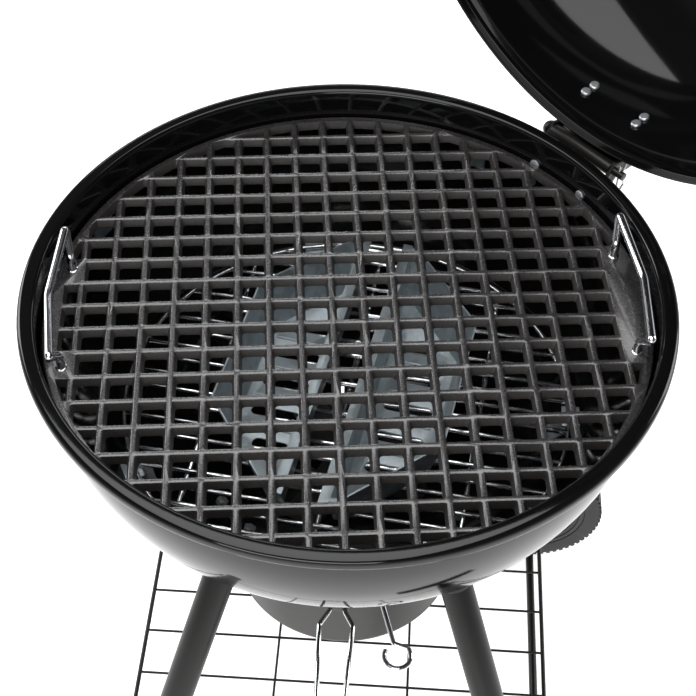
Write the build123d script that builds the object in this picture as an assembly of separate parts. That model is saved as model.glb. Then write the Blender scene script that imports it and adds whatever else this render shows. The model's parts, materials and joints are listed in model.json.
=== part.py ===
from build123d import *
import math
import os

# Kettle charcoal grill, 57 cm class, with its lid standing open.
# Millimetres. Origin on the ground under the bowl's axis. +Z is up, +X points to the wheel side,
# -Y to the cook. Angles about Z are counted from +X.

# ---------------------------------------------------------------- driving sizes
RIM_HEIGHT = 785.0        # top of the bowl's rim above the ground
BOWL_R = 273.0            # outside radius of the bowl's wall
BOWL_STRAIGHT = 30.0      # straight wall from the rim down to the widest level
BOWL_DEPTH = 222.0        # round part of the bowl, below the straight wall
BOWL_WALL = 2.0
RIM_OUT = 12.8            # how far the rolled rim stands out of the wall
RIM_TALL = 12.0

LID_R = 273.0             # outside radius of the lid's wall
LID_STRAIGHT = 12.0
LID_DOME = 178.0          # round part of the lid
LID_SHOULDER_R = 134.0    # its shoulder, tangent to its flatter crown
LID_WALL = 2.0
LID_LIP_GAP = 1.9         # between the bowl's rim and the lip that hangs round it
LID_LIP_TALL = 11.0
LID_SEAT_GAP = 0.5
LID_OPEN = 88.3           # degrees that the lid stands open at rest

HINGE_ANGLE = 44.5        # place of the lid hinge round the bowl
HINGE_OUT = 27.0          # pin's distance outside the bowl's wall
HINGE_DROP = 10.0         # pin's distance below the rim's top
PIN_R = 4.0
BARREL_R = 7.0
BARREL_LENGTH = 76.0
HINGE_PLATE = 3.0
EAR_GAP = 0.5
RUNNING = 0.05            # radial clearance of what turns on a pin or an axle

GRATE_TOP_DROP = 30.0     # cooking surface below the rim's top
GRATE_GAP = 2.5           # all round, between the grate and the bowl
GRATE_THICK = 8.0
GRATE_PITCH = 28.0
GRATE_BAR = 6.0
GRATE_RING = 8.0
GRATE_TURN = 6.2          # the grate lies turned by this much in the bowl
CORNER_R = 3.0
HANDLE_WIRE_R = 4.0
HANDLE_FEET = 118.0       # between the two legs of one grate handle
HANDLE_GRIP = 156.0       # length of its grip
HANDLE_TALL = 33.0
HANDLE_KINK = 9.0

COAL_GRATE_R = 213.0
COAL_GRATE_DROP = 122.0   # its wires' top, below the cooking surface
COAL_WIRE_R = 2.5
COAL_PITCH = 18.5
COAL_TURN = -7.0
BASKET_TURN = -11.0
BASKET_HALF_LENGTH = 168.0
BASKET_INNER = 16.0       # half the gap between the two baskets
BASKET_OUTER = 107.0
BASKET_SHOULDER = 75.0
BASKET_TALL = 55.0
BASKET_SHEET = 1.5
BASKET_TAPER = 14.0       # floor edge inside the rim edge
BASKET_FLANGE = 8.0
BASKET_SLOTS = 7

VENT_INNER = 32.0
VENT_OUTER = 92.0
VENT_WIDTH = 30.0
VENTS = 3
SHAFT_R = 5.0
LEVER_WIRE_R = 2.4
LEVER_DROP = 26.0         # lever below the bowl's lowest point
LEVER_ANGLE = -73.3
LEVER_REACH = 196.0
LOOP_R = 12.5
LOOP_ARC = 225.0

ASH_R = 117.0
ASH_TOP_DROP = 40.0       # bucket's rim below the bowl's lowest point
ASH_TALL = 118.0
ASH_SHEET = 1.5
ASH_BEAD_R = 2.5
ASH_HANDLE_DROP = 38.0
ASH_HANDLE_REACH = 126.0
ASH_HANDLE_HALF = 12.5
ASH_WIRE_R = 2.5
HANGER_WIDTH = 18.0
HANGER_ANGLES = (0.0, 90.0, 180.0)

LEG_R = 16.0
LEG_WALL = 1.5
LEG_TOP_X = 113.0         # leg centre line at the leg's top, |x| and |y| alike
LEG_TOP_Z = 500.0
LEG_SPREAD = 0.3008       # growth of |x| and of |y| per millimetre down
SOCKET_R = LEG_R - LEG_WALL - 0.2
SOCKET_DEPTH = 60.0
SOCKET_PLATE = 3.0
SOCKET_HALF_ANGLE = 15.0
FOOT_WALL = 2.5
FOOT_TALL = 34.0

WHEEL_R = 98.0
WHEEL_WIDTH = 38.0
WHEEL_RIM = 35.0          # from the tread's top to the inside of the rim
WHEEL_HUB_R = 18.0
WHEEL_GAP = 6.0           # between the leg and the wheel
LUG_TALL = 3.0
LUGS = 64
SPOKES = 5
AXLE_R = 5.0
AXLE_CAP_R = 11.0

SHELF_HEIGHT = 145.0
SHELF_HALF_Y = 198.0
SHELF_ROD_R = 2.5
SHELF_WIRE_R = 1.5
SHELF_PITCH = 57.3
SHELF_SHIFT = -7.0
SHELF_BAY = 79.0
SHELF_GAP = 2.4

BOLT_R = 3.0
BOLT_HOLE_R = 3.2
NUT_R = 6.0
SCREW_R = 2.5
SCREW_HOLE_R = 2.7
SCREW_SPACING = 65.0
SCREW_HEIGHTS = (25.0, 37.0)
HINGE_BOLT_SPACING = 60.0
HINGE_BOLT_DROPS = (31.0, 52.0)

GRIP_R = 14.0
GRIP_LENGTH = 150.0
GRIP_STANDOFF = 48.0
GRIP_HEIGHT = 62.0        # above the rim, lid shut
DAMPER_R = 46.0
DAMPER_SHEET = 1.5
LID_VENT_R = 9.0
LID_VENT_CIRCLE = 28.0
RIVET_R = 4.0

RIM_CORNER = 4.5
VENT_TURN = 90.0
BLADE_REST = 35.0         # blades' turn away from the vents at rest
BLADE_GAP = 0.6
BLADE_SHEET = 1.5
BLADE_LAP = 4.0
TAB_SHEET = 2.0
TAB_TALL = 26.0
TAB_SCREW_DROP = 16.0
TAB_WIDTH = 24.0
TAB_LAP = 9.0             # how far a grate reaches over its tabs
GRATE_TAB_ANGLES = (65.0, 155.0, 245.0, 335.0)
COAL_TAB_ANGLES = (-154.0, -1.0, 102.0)
REST_GAP = 0.3            # between a loose part and what it rests on
SOCKET_BOLT_R = 142.0
SOCKET_BOLT_ANGLE = 8.5
LEG_ANGLES = (45.0, 135.0, 225.0, 315.0)
HANDLE_X = 247.0          # grate handle's legs from the middle of the grate
COLLAR_TALL = 2.0
SHORT_CELL = 0.5
SMALLEST_CELL = 45.0
BASKET_LAND = 8.0
SLOT_WIDTH = 12.0
DAMPER_GAP = 0.5
DAMPER_TURN = 45.0
BRACKET_SHEET = 3.0
BRACKET_WIDTH = 22.0
EAR_R = 9.0
EAR_ARM = 26.0
STOP_GAP = 0.3
PIN_HEAD_R = 8.0
PIN_TAIL = 12.0
CLIP_WIRE_R = 1.1
SCREW_HEAD_R = 5.0
SCREW_HEAD_TALL = 3.0
NUT_TALL = 5.0
SEAT_GAP = 0.3            # under a nut or head on a curved wall
HEAD_LOW = 1.9            # low bolt heads beside the cooking grate
HOOP_GAP = 0.5
HOOP_TALL = 14.0
ASH_CORNER = 9.0
ASH_WIRE_X = 8.0
LEG_TAIL = 14.0           # right leg's end below the axle
FOOT_FLOOR = 6.0
WHEEL_TURN = 18.0
SPOKE_WIDTH = 19.0
SPOKE_TALL = 26.0
HUB_BOSS = 4.5            # hub's length beyond the wheel's inner face
GROOVES = (68.0, 75.0)
AXLE_TAIL = 7.0
CAP_GAP = 0.8
SHELF_LUG = 10.0
SHELF_EYE_R = 5.5
UP = (Align.CENTER, Align.CENTER, Align.MIN)

# ---------------------------------------------------------------- levels worked out from them
EQUATOR_Z = RIM_HEIGHT - BOWL_STRAIGHT
BOWL_BOTTOM = EQUATOR_Z - BOWL_DEPTH
RIM_R = BOWL_R + RIM_OUT
GRATE_Z = RIM_HEIGHT - GRATE_TOP_DROP
GRATE_R = BOWL_R - BOWL_WALL - GRATE_GAP
COAL_Z = GRATE_Z - COAL_GRATE_DROP
LID_CROWN_R = LID_R ** 2 + LID_DOME ** 2 - 2 * LID_R * LID_SHOULDER_R
LID_CROWN_R /= 2 * (LID_DOME - LID_SHOULDER_R)
LID_CROWN_ANGLE = math.degrees(math.atan2(LID_R - LID_SHOULDER_R, LID_CROWN_R - LID_DOME))
PIN_X = BOWL_R + HINGE_OUT
PIN_Z = RIM_HEIGHT - HINGE_DROP
LID_SEAT = RIM_HEIGHT + LID_SEAT_GAP
LIP_INNER = RIM_R + LID_LIP_GAP
LIP_OUTER = LIP_INNER + LID_WALL
LID_DOME_Z = LID_SEAT + LID_WALL + LID_STRAIGHT
AXLE_Z = WHEEL_R
COAL_TAB_TOP = COAL_Z - 2 * COAL_WIRE_R - REST_GAP
LEVER_Z = BOWL_BOTTOM - LEVER_DROP
ASH_TOP = BOWL_BOTTOM - ASH_TOP_DROP
SHELF_Z = SHELF_HEIGHT
WHEEL_FACE = LEG_TOP_X + LEG_SPREAD * (LEG_TOP_Z - AXLE_Z + LEG_TAIL) + LEG_R + WHEEL_GAP


# ---------------------------------------------------------------- shared helpers
def leg_offset(z):
    """|x| and |y| of a leg's centre line at height z."""
    return LEG_TOP_X + LEG_SPREAD * (LEG_TOP_Z - z)


def leg_point(side, end, z):
    """Point on the centre line of the leg on this side (+1 is +X) and end (+1 is +Y)."""
    return Vector(side * leg_offset(z), end * leg_offset(z), z)


def turned(*edges):
    """Solid turned about Z from a closed outline in the XZ plane."""
    return revolve(Plane.XZ * make_face(Curve() + list(edges)), Axis.Z, 360)


def ring(inner, outer, low, high):
    """Plain ring about Z."""
    tall = high - low
    wall = Cylinder(outer, tall) - Cylinder(inner, 2 * tall)
    return Pos(0, 0, (low + high) / 2) * wall


def block(low, high):
    """Box between two corners."""
    size = [b - a for a, b in zip(low, high)]
    middle = [(a + b) / 2 for a, b in zip(low, high)]
    return Pos(*middle) * Box(*size)


def rod(start, end, radius):
    """Round bar between two points."""
    start, end = Vector(*start), Vector(*end)
    span = end - start
    return extrude(Plane(start, z_dir=span) * Circle(radius), span.length)


def wire(points, radius, bend):
    """Round wire bent along a route, with one bend radius or one for each corner."""
    path = FilletPolyline(*points, radius=bend)
    return sweep(Plane(path @ 0, z_dir=path % 0) * Circle(radius), path=path)


def bowl_body(skin=0.0, top=RIM_HEIGHT):
    """Filled shape of the bowl, its surface moved outwards by skin."""
    a = BOWL_R + skin
    b = BOWL_DEPTH + skin
    wall = EllipticalCenterArc((0, EQUATOR_Z), a, b, start_angle=0, arc_size=-90)
    sides = Polyline((0, EQUATOR_Z - b), (0, top), (a, top), (a, EQUATOR_Z))
    return turned(wall, sides)


def lid_body(skin=0.0):
    """Filled shape of the shut lid above its flange, its surface moved outwards by skin."""
    side = LID_R + skin
    top = LID_DOME_Z + LID_DOME + skin
    turn = 90 - LID_CROWN_ANGLE
    shoulder = CenterArc((LID_R - LID_SHOULDER_R, LID_DOME_Z), LID_SHOULDER_R + skin, 0, turn)
    crown = CenterArc((0, top - skin - LID_CROWN_R), LID_CROWN_R + skin, turn, LID_CROWN_ANGLE)
    sides = Polyline((0, top), (0, LID_SEAT), (side, LID_SEAT), (side, LID_DOME_Z))
    return turned(shoulder, crown, sides)


def surface_place(angle, radius, out, up):
    """Place on a round skin, its z axis along the outward normal (out, up), x axis level."""
    normal = Vector(out, 0, up).normalized()
    place = Plane((radius, 0, 0), x_dir=(0, 1, 0), z_dir=normal)
    return Rot(0, 0, angle) * place.location


def on_bowl(angle, radius):
    """Place on the round part of the bowl's outside at this radius."""
    level = -BOWL_DEPTH * math.sqrt(1 - (radius / BOWL_R) ** 2)
    place = surface_place(angle, radius, radius / BOWL_R ** 2, level / BOWL_DEPTH ** 2)
    return Pos(0, 0, EQUATOR_Z + level) * place


def on_wall(angle, z):
    """Place on the bowl's outside at this height, on or near its straight wall."""
    level = min(0.0, z - EQUATOR_Z)
    radius = BOWL_R * math.sqrt(1 - (level / BOWL_DEPTH) ** 2)
    place = surface_place(angle, radius, radius / BOWL_R ** 2, level / BOWL_DEPTH ** 2)
    return Pos(0, 0, z) * place


def on_lid(angle, height):
    """Place on the outside of the shut lid at this height above the rim's top."""
    level = max(0.0, RIM_HEIGHT + height - LID_DOME_Z)
    out = math.sqrt(LID_SHOULDER_R ** 2 - level ** 2)
    place = surface_place(angle, LID_R - LID_SHOULDER_R + out, out, level)
    return Pos(0, 0, RIM_HEIGHT + height) * place


def bolt(thickness):
    """Bolt along z: shank through a wall from -thickness to 0, round head outside at z > 0."""
    shank = Pos(0, 0, -thickness - NUT_TALL - 1) * Cylinder(BOLT_R, thickness + NUT_TALL + 1, align=UP)
    return shank + Cylinder(NUT_R - 0.5, 3.0, align=UP)


def nut(thickness):
    """Nut of a bolt, inside the wall."""
    shape = extrude(RegularPolygon(NUT_R, 6), -NUT_TALL) - Cylinder(BOLT_HOLE_R, 4 * NUT_TALL)
    return Pos(0, 0, -thickness - SEAT_GAP) * shape


def pan_head_screw(thickness):
    """Screw along z whose head is inside the wall, with its end outside."""
    low = -thickness - SEAT_GAP - SCREW_HEAD_TALL
    head = Pos(0, 0, low) * Cylinder(SCREW_HEAD_R, SCREW_HEAD_TALL, align=UP)
    head = fillet(head.edges().group_by(Axis.Z)[0], SCREW_HEAD_TALL * 0.6)
    shank = Pos(0, 0, -thickness - SEAT_GAP) * Cylinder(SCREW_R, thickness + SEAT_GAP + 5.0, align=UP)
    return head + shank


def low_bolt(inside, outside):
    """Bolt along z with a low head inside the wall and its end standing out of the outside."""
    seat = -inside - SEAT_GAP
    head = Pos(0, 0, seat - HEAD_LOW) * Cylinder(SCREW_HEAD_R, HEAD_LOW, align=UP)
    shank = Pos(0, 0, seat) * Cylinder(BOLT_R, outside + NUT_TALL + 1 - seat, align=UP)
    return head + shank


def hinge_frame(shape):
    """Turns a shape drawn with x outwards and y along the hinge to the hinge's place."""
    return Rot(0, 0, HINGE_ANGLE) * shape


def opened(shape):
    """Swings a shape of the shut lid, at its place round the bowl, to the open rest position."""
    swing = Pos(PIN_X, 0, PIN_Z) * Rot(0, LID_OPEN, 0) * Pos(-PIN_X, 0, -PIN_Z)
    return Rot(0, 0, HINGE_ANGLE) * swing * Rot(0, 0, -HINGE_ANGLE) * shape


def solids_of(shapes):
    """Several separate solids as one node."""
    return Compound(children=[s for shape in shapes for s in shape.solids()])


# ---------------------------------------------------------------- bowl
def socket_bolt_places():
    angles = [leg + side * SOCKET_BOLT_ANGLE for leg in LEG_ANGLES for side in (-1, 1)]
    return [on_bowl(angle, SOCKET_BOLT_R) for angle in angles]


def hinge_bolt_places():
    half = math.degrees(math.asin(HINGE_BOLT_SPACING / 2 / BOWL_R))
    angles = (HINGE_ANGLE - half, HINGE_ANGLE + half)
    return [on_wall(angle, RIM_HEIGHT - drop) for angle in angles for drop in HINGE_BOLT_DROPS]


def coal_tab_places():
    return [on_wall(angle, COAL_TAB_TOP - TAB_SCREW_DROP) for angle in COAL_TAB_ANGLES]


def vent_slots():
    """Tall cutters for the ash vents in the bowl's floor."""
    middle = (VENT_INNER + VENT_OUTER) / 2
    slot = Pos(middle, 0) * SlotOverall(VENT_OUTER - VENT_INNER, VENT_WIDTH)
    cutter = Pos(0, 0, BOWL_BOTTOM - 10) * extrude(slot, BOWL_DEPTH / 2)
    return [Rot(0, 0, VENT_TURN + 360 / VENTS * k) * cutter for k in range(VENTS)]


def make_bowl():
    shell = bowl_body(top=RIM_HEIGHT - RIM_TALL / 2) - bowl_body(-BOWL_WALL)
    rim_width = RIM_OUT + BOWL_WALL
    section = RectangleRounded(rim_width, RIM_TALL, RIM_CORNER)
    section = Pos(RIM_R - rim_width / 2, RIM_HEIGHT - RIM_TALL / 2) * section
    shell += revolve(Plane.XZ * section, Axis.Z, 360)
    for cutter in vent_slots():
        shell -= cutter
    shell -= Pos(0, 0, BOWL_BOTTOM) * Cylinder(SHAFT_R + RUNNING, 20)
    for place in socket_bolt_places() + hinge_bolt_places() + coal_tab_places():
        shell -= place * Cylinder(BOLT_HOLE_R, 4 * BOWL_WALL)
    return shell


def make_tabs(angles, top, reach, bolts=()):
    """Angle brackets inside the bowl's wall whose ledges stop at radius reach."""
    holes = [place * Cylinder(BOLT_HOLE_R, 8 * BOWL_WALL) for place in bolts]
    tabs = []
    for angle in angles:
        inside = bowl_body(-BOWL_WALL)
        skin = inside - bowl_body(-BOWL_WALL - TAB_SHEET)
        low = top - TAB_TALL
        plate = skin & block((0, -TAB_WIDTH / 2, low), (BOWL_R, TAB_WIDTH / 2, top))
        ledge = block((reach, -TAB_WIDTH / 2, top - TAB_SHEET), (BOWL_R, TAB_WIDTH / 2, top)) & inside
        tab = Rot(0, 0, angle) * (plate + ledge)
        for hole in holes:
            tab -= hole
        tabs.append(tab)
    return tabs


# ---------------------------------------------------------------- lid
def lid_vent_places():
    return [Rot(0, 0, 90 * k) * Pos(LID_VENT_CIRCLE, 0, 0) for k in range(4)]


def lid_screw_places():
    half = math.degrees(math.asin(SCREW_SPACING / 2 / LID_R))
    return [on_lid(HINGE_ANGLE + side * half, height) for side in (-1, 1) for height in SCREW_HEIGHTS]


def grip_place():
    return on_lid(HINGE_ANGLE + 180, GRIP_HEIGHT)


def make_lid():
    shell = lid_body() - lid_body(-LID_WALL)
    shell -= Pos(0, 0, LID_SEAT) * Cylinder(LID_R - LID_WALL, 2)
    shell += ring(LID_R - LID_WALL, LIP_OUTER, LID_SEAT, LID_SEAT + LID_WALL)
    shell += ring(LIP_INNER, LIP_OUTER, LID_SEAT + LID_WALL - LID_LIP_TALL, LID_SEAT + LID_WALL)
    top = LID_DOME_Z + LID_DOME
    for place in lid_vent_places():
        shell -= Pos(0, 0, top) * place * Cylinder(LID_VENT_R, 40)
    shell -= Pos(0, 0, top) * Cylinder(RIVET_R, 40)
    for place in lid_screw_places():
        shell -= place * Cylinder(SCREW_HOLE_R, 4 * LID_WALL)
    return shell


def make_damper():
    skin = lid_body(DAMPER_GAP + DAMPER_SHEET) - lid_body(DAMPER_GAP)
    top = LID_DOME_Z + LID_DOME
    disc = skin & Pos(0, 0, top) * Cylinder(DAMPER_R, 60)
    for place in lid_vent_places():
        disc -= Pos(0, 0, top) * Rot(0, 0, DAMPER_TURN) * place * Cylinder(LID_VENT_R, 60)
    disc -= Pos(0, 0, top) * Cylinder(RIVET_R + RUNNING, 60)
    top += DAMPER_GAP
    tab_x = DAMPER_R - 6
    tab = block((tab_x, -7, top - 5), (tab_x + DAMPER_SHEET, 7, top + 16))
    return disc + tab - lid_body(DAMPER_GAP)


def make_rivet():
    top = LID_DOME_Z + LID_DOME
    stem_tall = LID_WALL + DAMPER_GAP + DAMPER_SHEET + 6
    stem = Pos(0, 0, top - LID_WALL - 3) * Cylinder(RIVET_R, stem_tall, align=UP)
    tail = Pos(0, 0, top - LID_WALL - 3) * Cylinder(RIVET_R + 3, 2.2, align=UP)
    head_z = top + DAMPER_GAP + DAMPER_SHEET + 0.4
    head = Pos(0, 0, head_z) * Cylinder(RIVET_R + 4, 2.6, align=UP)
    return stem + tail + head


def make_grip_bracket(side):
    """Upright plate with a foot on the lid, at one end of the grip."""
    x = side * (GRIP_LENGTH + BRACKET_SHEET) / 2
    plate = Pos(x, 0, GRIP_STANDOFF / 2 - 10) * Box(BRACKET_SHEET, BRACKET_WIDTH, GRIP_STANDOFF + 20)
    end = Pos(x, 0, GRIP_STANDOFF) * Rot(0, 90, 0) * Cylinder(BRACKET_WIDTH / 2, BRACKET_SHEET)
    foot_x = side * (GRIP_LENGTH / 2 - 9)
    foot = Pos(foot_x, 0, 0) * Box(22, BRACKET_WIDTH, 60)
    foot = grip_place() * foot & (lid_body(BRACKET_SHEET) - lid_body())
    upright = grip_place() * (plate + end) - lid_body()
    hole = grip_place() * Pos(x, 0, GRIP_STANDOFF) * Rot(0, 90, 0) * Cylinder(SCREW_HOLE_R, 20)
    return upright + foot - hole


def make_grip():
    bar = Rot(0, 90, 0) * Cylinder(GRIP_R, GRIP_LENGTH)
    bar = fillet(bar.edges().filter_by(GeomType.CIRCLE), 3.0)
    bar -= Rot(0, 90, 0) * Cylinder(SCREW_R, GRIP_LENGTH + 2)
    return grip_place() * Pos(0, 0, GRIP_STANDOFF) * bar


def make_grip_screws():
    screws = []
    for side in (-1, 1):
        face = side * (GRIP_LENGTH / 2 + BRACKET_SHEET)
        head = Pos(face + side * 1.5, 0, 0) * Rot(0, 90, 0) * Cylinder(SCREW_HEAD_R, 3.0)
        shank = Pos(face - side * 12, 0, 0) * Rot(0, 90, 0) * Cylinder(SCREW_R, 24.0)
        screws.append(grip_place() * Pos(0, 0, GRIP_STANDOFF) * (head + shank))
    return screws


# ---------------------------------------------------------------- lid hinge
def along_hinge(radius, low, high):
    """Round bar along the hinge's pin line, between two places on it."""
    bar = Rot(90, 0, 0) * Cylinder(radius, high - low)
    return Pos(PIN_X, (low + high) / 2, PIN_Z) * bar


def make_lid_bracket():
    half = BARREL_LENGTH / 2
    barrel = along_hinge(BARREL_R, -half, half)
    knee = RIM_HEIGHT + SCREW_HEIGHTS[0] - 10
    half_sheet = HINGE_PLATE / 2
    web = block((PIN_X - half_sheet, -half, PIN_Z), (PIN_X + half_sheet, half, knee))
    shelf = block((LID_R - 20, -half, knee - HINGE_PLATE), (PIN_X + half_sheet, half, knee))
    top = RIM_HEIGHT + SCREW_HEIGHTS[1] + 9
    plate_half = SCREW_SPACING / 2 + 9
    flange = block((0, -plate_half, knee - HINGE_PLATE), (PIN_X, plate_half, top))
    flange = lid_body(HINGE_PLATE) & flange
    bore = along_hinge(PIN_R + RUNNING, -half - 1, half + 1)
    bracket = hinge_frame(barrel + web + (shelf + flange - lid_body()) - bore)
    for place in lid_screw_places():
        bracket -= place * Cylinder(SCREW_HOLE_R, 8 * HINGE_PLATE)
    return bracket


def make_bowl_bracket():
    plate_top = RIM_HEIGHT - HINGE_BOLT_DROPS[0] + 10
    plate_low = RIM_HEIGHT - HINGE_BOLT_DROPS[1] - 12
    ear_in = BARREL_LENGTH / 2 + EAR_GAP
    ear_out = ear_in + HINGE_PLATE
    skin = bowl_body(HINGE_PLATE) - bowl_body()
    plate = skin & block((0, -ear_out, plate_low), (2 * BOWL_R, ear_out, plate_top))
    chord = math.sqrt(BOWL_R ** 2 - ear_out ** 2)
    under_rim = RIM_HEIGHT - RIM_TALL - 3
    outline = Polyline((chord - 4, plate_low), (chord - 4, under_rim - 2), (RIM_R + 1, under_rim - 2),
                       (PIN_X, PIN_Z + EAR_R), (PIN_X + EAR_ARM, PIN_Z + 2),
                       (PIN_X + EAR_ARM, PIN_Z - 9), (PIN_X + 6, PIN_Z - EAR_R), close=True)
    ear = extrude(Plane.XZ * make_face(outline), HINGE_PLATE)
    ears = Pos(0, ear_out, 0) * ear + Pos(0, -ear_in, 0) * ear - bowl_body()
    stop_top = PIN_Z - HINGE_PLATE / 2 - STOP_GAP
    stop_end = PIN_X + EAR_ARM
    stop = block((stop_end - 12, -ear_in, stop_top - HINGE_PLATE), (stop_end, ear_in, stop_top))
    bracket = plate + ears + stop - along_hinge(PIN_R, -ear_out - 1, ear_out + 1)
    bracket = hinge_frame(bracket)
    for place in hinge_bolt_places():
        bracket -= place * Cylinder(BOLT_HOLE_R, 8 * HINGE_PLATE)
    return bracket


def make_hinge_pin():
    ear_out = BARREL_LENGTH / 2 + EAR_GAP + HINGE_PLATE
    pin = along_hinge(PIN_R, -ear_out - PIN_TAIL, ear_out + 1)
    dome = Pos(PIN_X, ear_out, PIN_Z) * (Sphere(PIN_HEAD_R) & block((-20, 0, -20), (20, 20, 20)))
    clip_hole = Pos(PIN_X, -ear_out - PIN_TAIL / 2, PIN_Z) * Cylinder(CLIP_WIRE_R, 40)
    return hinge_frame(pin + dome - clip_hole)


def make_hinge_clip():
    ear_out = BARREL_LENGTH / 2 + EAR_GAP + HINGE_PLATE
    y = -ear_out - PIN_TAIL / 2
    out = PIN_X + PIN_R + CLIP_WIRE_R + 0.1
    route = [(PIN_X, y, PIN_Z + 9), (PIN_X, y, PIN_Z - 20),
             (PIN_X + 5, y, PIN_Z - 24), (out + 5, y, PIN_Z - 18),
             (out + 2, y, PIN_Z - 9), (out, y, PIN_Z), (out + 4, y, PIN_Z + 9)]
    return hinge_frame(wire(route, CLIP_WIRE_R, 1.6))


# ---------------------------------------------------------------- cooking grate
def grate_openings():
    """Openings between the bars: square cells, short ones on the left, none under the handles."""
    side = GRATE_PITCH - GRATE_BAR
    inside = GRATE_R - GRATE_RING
    count = int(GRATE_R / GRATE_PITCH)
    leg_row = round(HANDLE_FEET / 2 / GRATE_PITCH)
    cells = []
    for column in range(-count, count + 1):
        for row in range(-count, count + 1):
            if abs(column) == count and abs(row) == leg_row:
                continue
            if column == count and abs(row) < leg_row:
                continue
            width = side * SHORT_CELL if column == -count and abs(row) < leg_row else side
            x = column * GRATE_PITCH + (side - width) / 2
            y = row * GRATE_PITCH
            cell = Pos(x, y) * RectangleRounded(width, side, CORNER_R)
            if math.hypot(abs(x) + width / 2, abs(y) + side / 2) > inside:
                cell = cell & Circle(inside)
            cells += [face for face in cell.faces() if face.area > SMALLEST_CELL]
    return cells


def make_cooking_grate():
    plate = extrude(Circle(GRATE_R) - grate_openings(), -GRATE_THICK)
    for side in (-1, 1):
        for end in (-1, 1):
            leg_hole = Cylinder(HANDLE_WIRE_R, 4 * GRATE_THICK)
            plate -= Pos(side * HANDLE_X, end * HANDLE_FEET / 2, 0) * leg_hole
    return Pos(0, 0, GRATE_Z) * Rot(0, 0, GRATE_TURN) * plate


def make_grate_handle(side):
    """Bail whose two legs go down through the grate, with a collar on each side of it."""
    x, half, grip = side * HANDLE_X, HANDLE_FEET / 2, HANDLE_GRIP / 2
    lean = x + side * 4
    route = [(x, -half, -GRATE_THICK - 4), (x, -half, 14), (lean, -grip, HANDLE_TALL),
             (x + side * (4 + HANDLE_KINK), 0, HANDLE_TALL - 5), (lean, grip, HANDLE_TALL),
             (x, half, 14), (x, half, -GRATE_THICK - 4)]
    bail = wire(route, HANDLE_WIRE_R, [14, 7, 20, 7, 14])
    for end in (-half, half):
        for z in (0, -GRATE_THICK - COLLAR_TALL):
            bail += Pos(x, end, z) * Cylinder(HANDLE_WIRE_R + 1.6, COLLAR_TALL, align=UP)
    return Pos(0, 0, GRATE_Z) * Rot(0, 0, GRATE_TURN) * bail


# ---------------------------------------------------------------- charcoal grate and baskets
def make_coal_grate():
    """Level wires welded over cross wires, inside a round frame bar."""
    frame_r = COAL_GRATE_R - COAL_WIRE_R
    cross_z = -COAL_WIRE_R * 1.6
    wires = []
    count = int((frame_r - COAL_WIRE_R) / COAL_PITCH)
    for k in range(-count, count + 1):
        y = k * COAL_PITCH
        half = math.sqrt(frame_r ** 2 - y ** 2)
        wires.append(rod((-half, y, 0), (half, y, 0), COAL_WIRE_R))
    for k in (-1, 0, 1):
        x = k * frame_r * 0.6
        half = math.sqrt(frame_r ** 2 - x ** 2)
        wires.append(rod((x, -half, cross_z), (x, half, cross_z), COAL_WIRE_R))
    grate = wires[0] + wires[1:]
    grate += ring(frame_r - COAL_WIRE_R, COAL_GRATE_R, -COAL_WIRE_R, COAL_WIRE_R)
    return Pos(0, 0, COAL_Z - COAL_WIRE_R) * Rot(0, 0, COAL_TURN) * grate


def basket_outline(inset, taper, sheet):
    """Half-hexagon outline of the +X basket, drawn in by a taper and by the sheet."""
    inner = BASKET_INNER + BASKET_FLANGE + sheet
    outer = BASKET_OUTER - taper - sheet
    slope = (BASKET_HALF_LENGTH - BASKET_SHOULDER) / (BASKET_OUTER - BASKET_INNER - inset)
    shoulder = BASKET_SHOULDER - taper / 3 - sheet / 2
    length = shoulder + slope * (outer - inner - inset)
    return Polyline((inner, -length), (inner + inset, -length), (outer, -shoulder),
                    (outer, shoulder), (inner + inset, length), (inner, length), close=True)


def basket_fill(sheet, low, high):
    """Filled shape of the +X basket between two heights over its floor."""
    def layer(z):
        taper = BASKET_TAPER * (1 - z / BASKET_TALL)
        return Pos(0, 0, z) * make_face(basket_outline(BASKET_LAND, taper, sheet))
    return loft([layer(low), layer(high)])


def make_basket(side):
    pan = basket_fill(0, 0, BASKET_TALL) - basket_fill(BASKET_SHEET, BASKET_SHEET, BASKET_TALL + 1)
    half = BASKET_HALF_LENGTH - 6
    flange_x = BASKET_INNER + BASKET_FLANGE + BASKET_SHEET
    pan += block((BASKET_INNER, -half, BASKET_TALL - BASKET_SHEET), (flange_x, half, BASKET_TALL))
    pitch = 2 * BASKET_SHOULDER / (BASKET_SLOTS - 3)
    first = BASKET_INNER + BASKET_FLANGE + 12
    for k in range(BASKET_SLOTS):
        y = (k - (BASKET_SLOTS - 1) / 2) * pitch
        beyond = max(0.0, abs(y) + SLOT_WIDTH / 2 - BASKET_SHOULDER + 6)
        last = BASKET_OUTER - BASKET_TAPER - 10 - beyond
        if last - first < 2 * SLOT_WIDTH:
            continue
        slot = extrude(SlotOverall(last - first, SLOT_WIDTH), 4 * BASKET_SHEET)
        pan -= Pos((first + last) / 2, y, 0) * slot
        rib_y = y + pitch / 2
        if k < BASKET_SLOTS - 1 and abs(rib_y) < BASKET_SHOULDER:
            rib_end = BASKET_OUTER - BASKET_TAPER - 8
            pan += rod((first, rib_y, BASKET_SHEET), (rib_end, rib_y, BASKET_SHEET), BASKET_SHEET)
    if side < 0:
        pan = mirror(pan, Plane.YZ)
    return Pos(0, 0, COAL_Z + REST_GAP) * Rot(0, 0, BASKET_TURN) * pan


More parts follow.
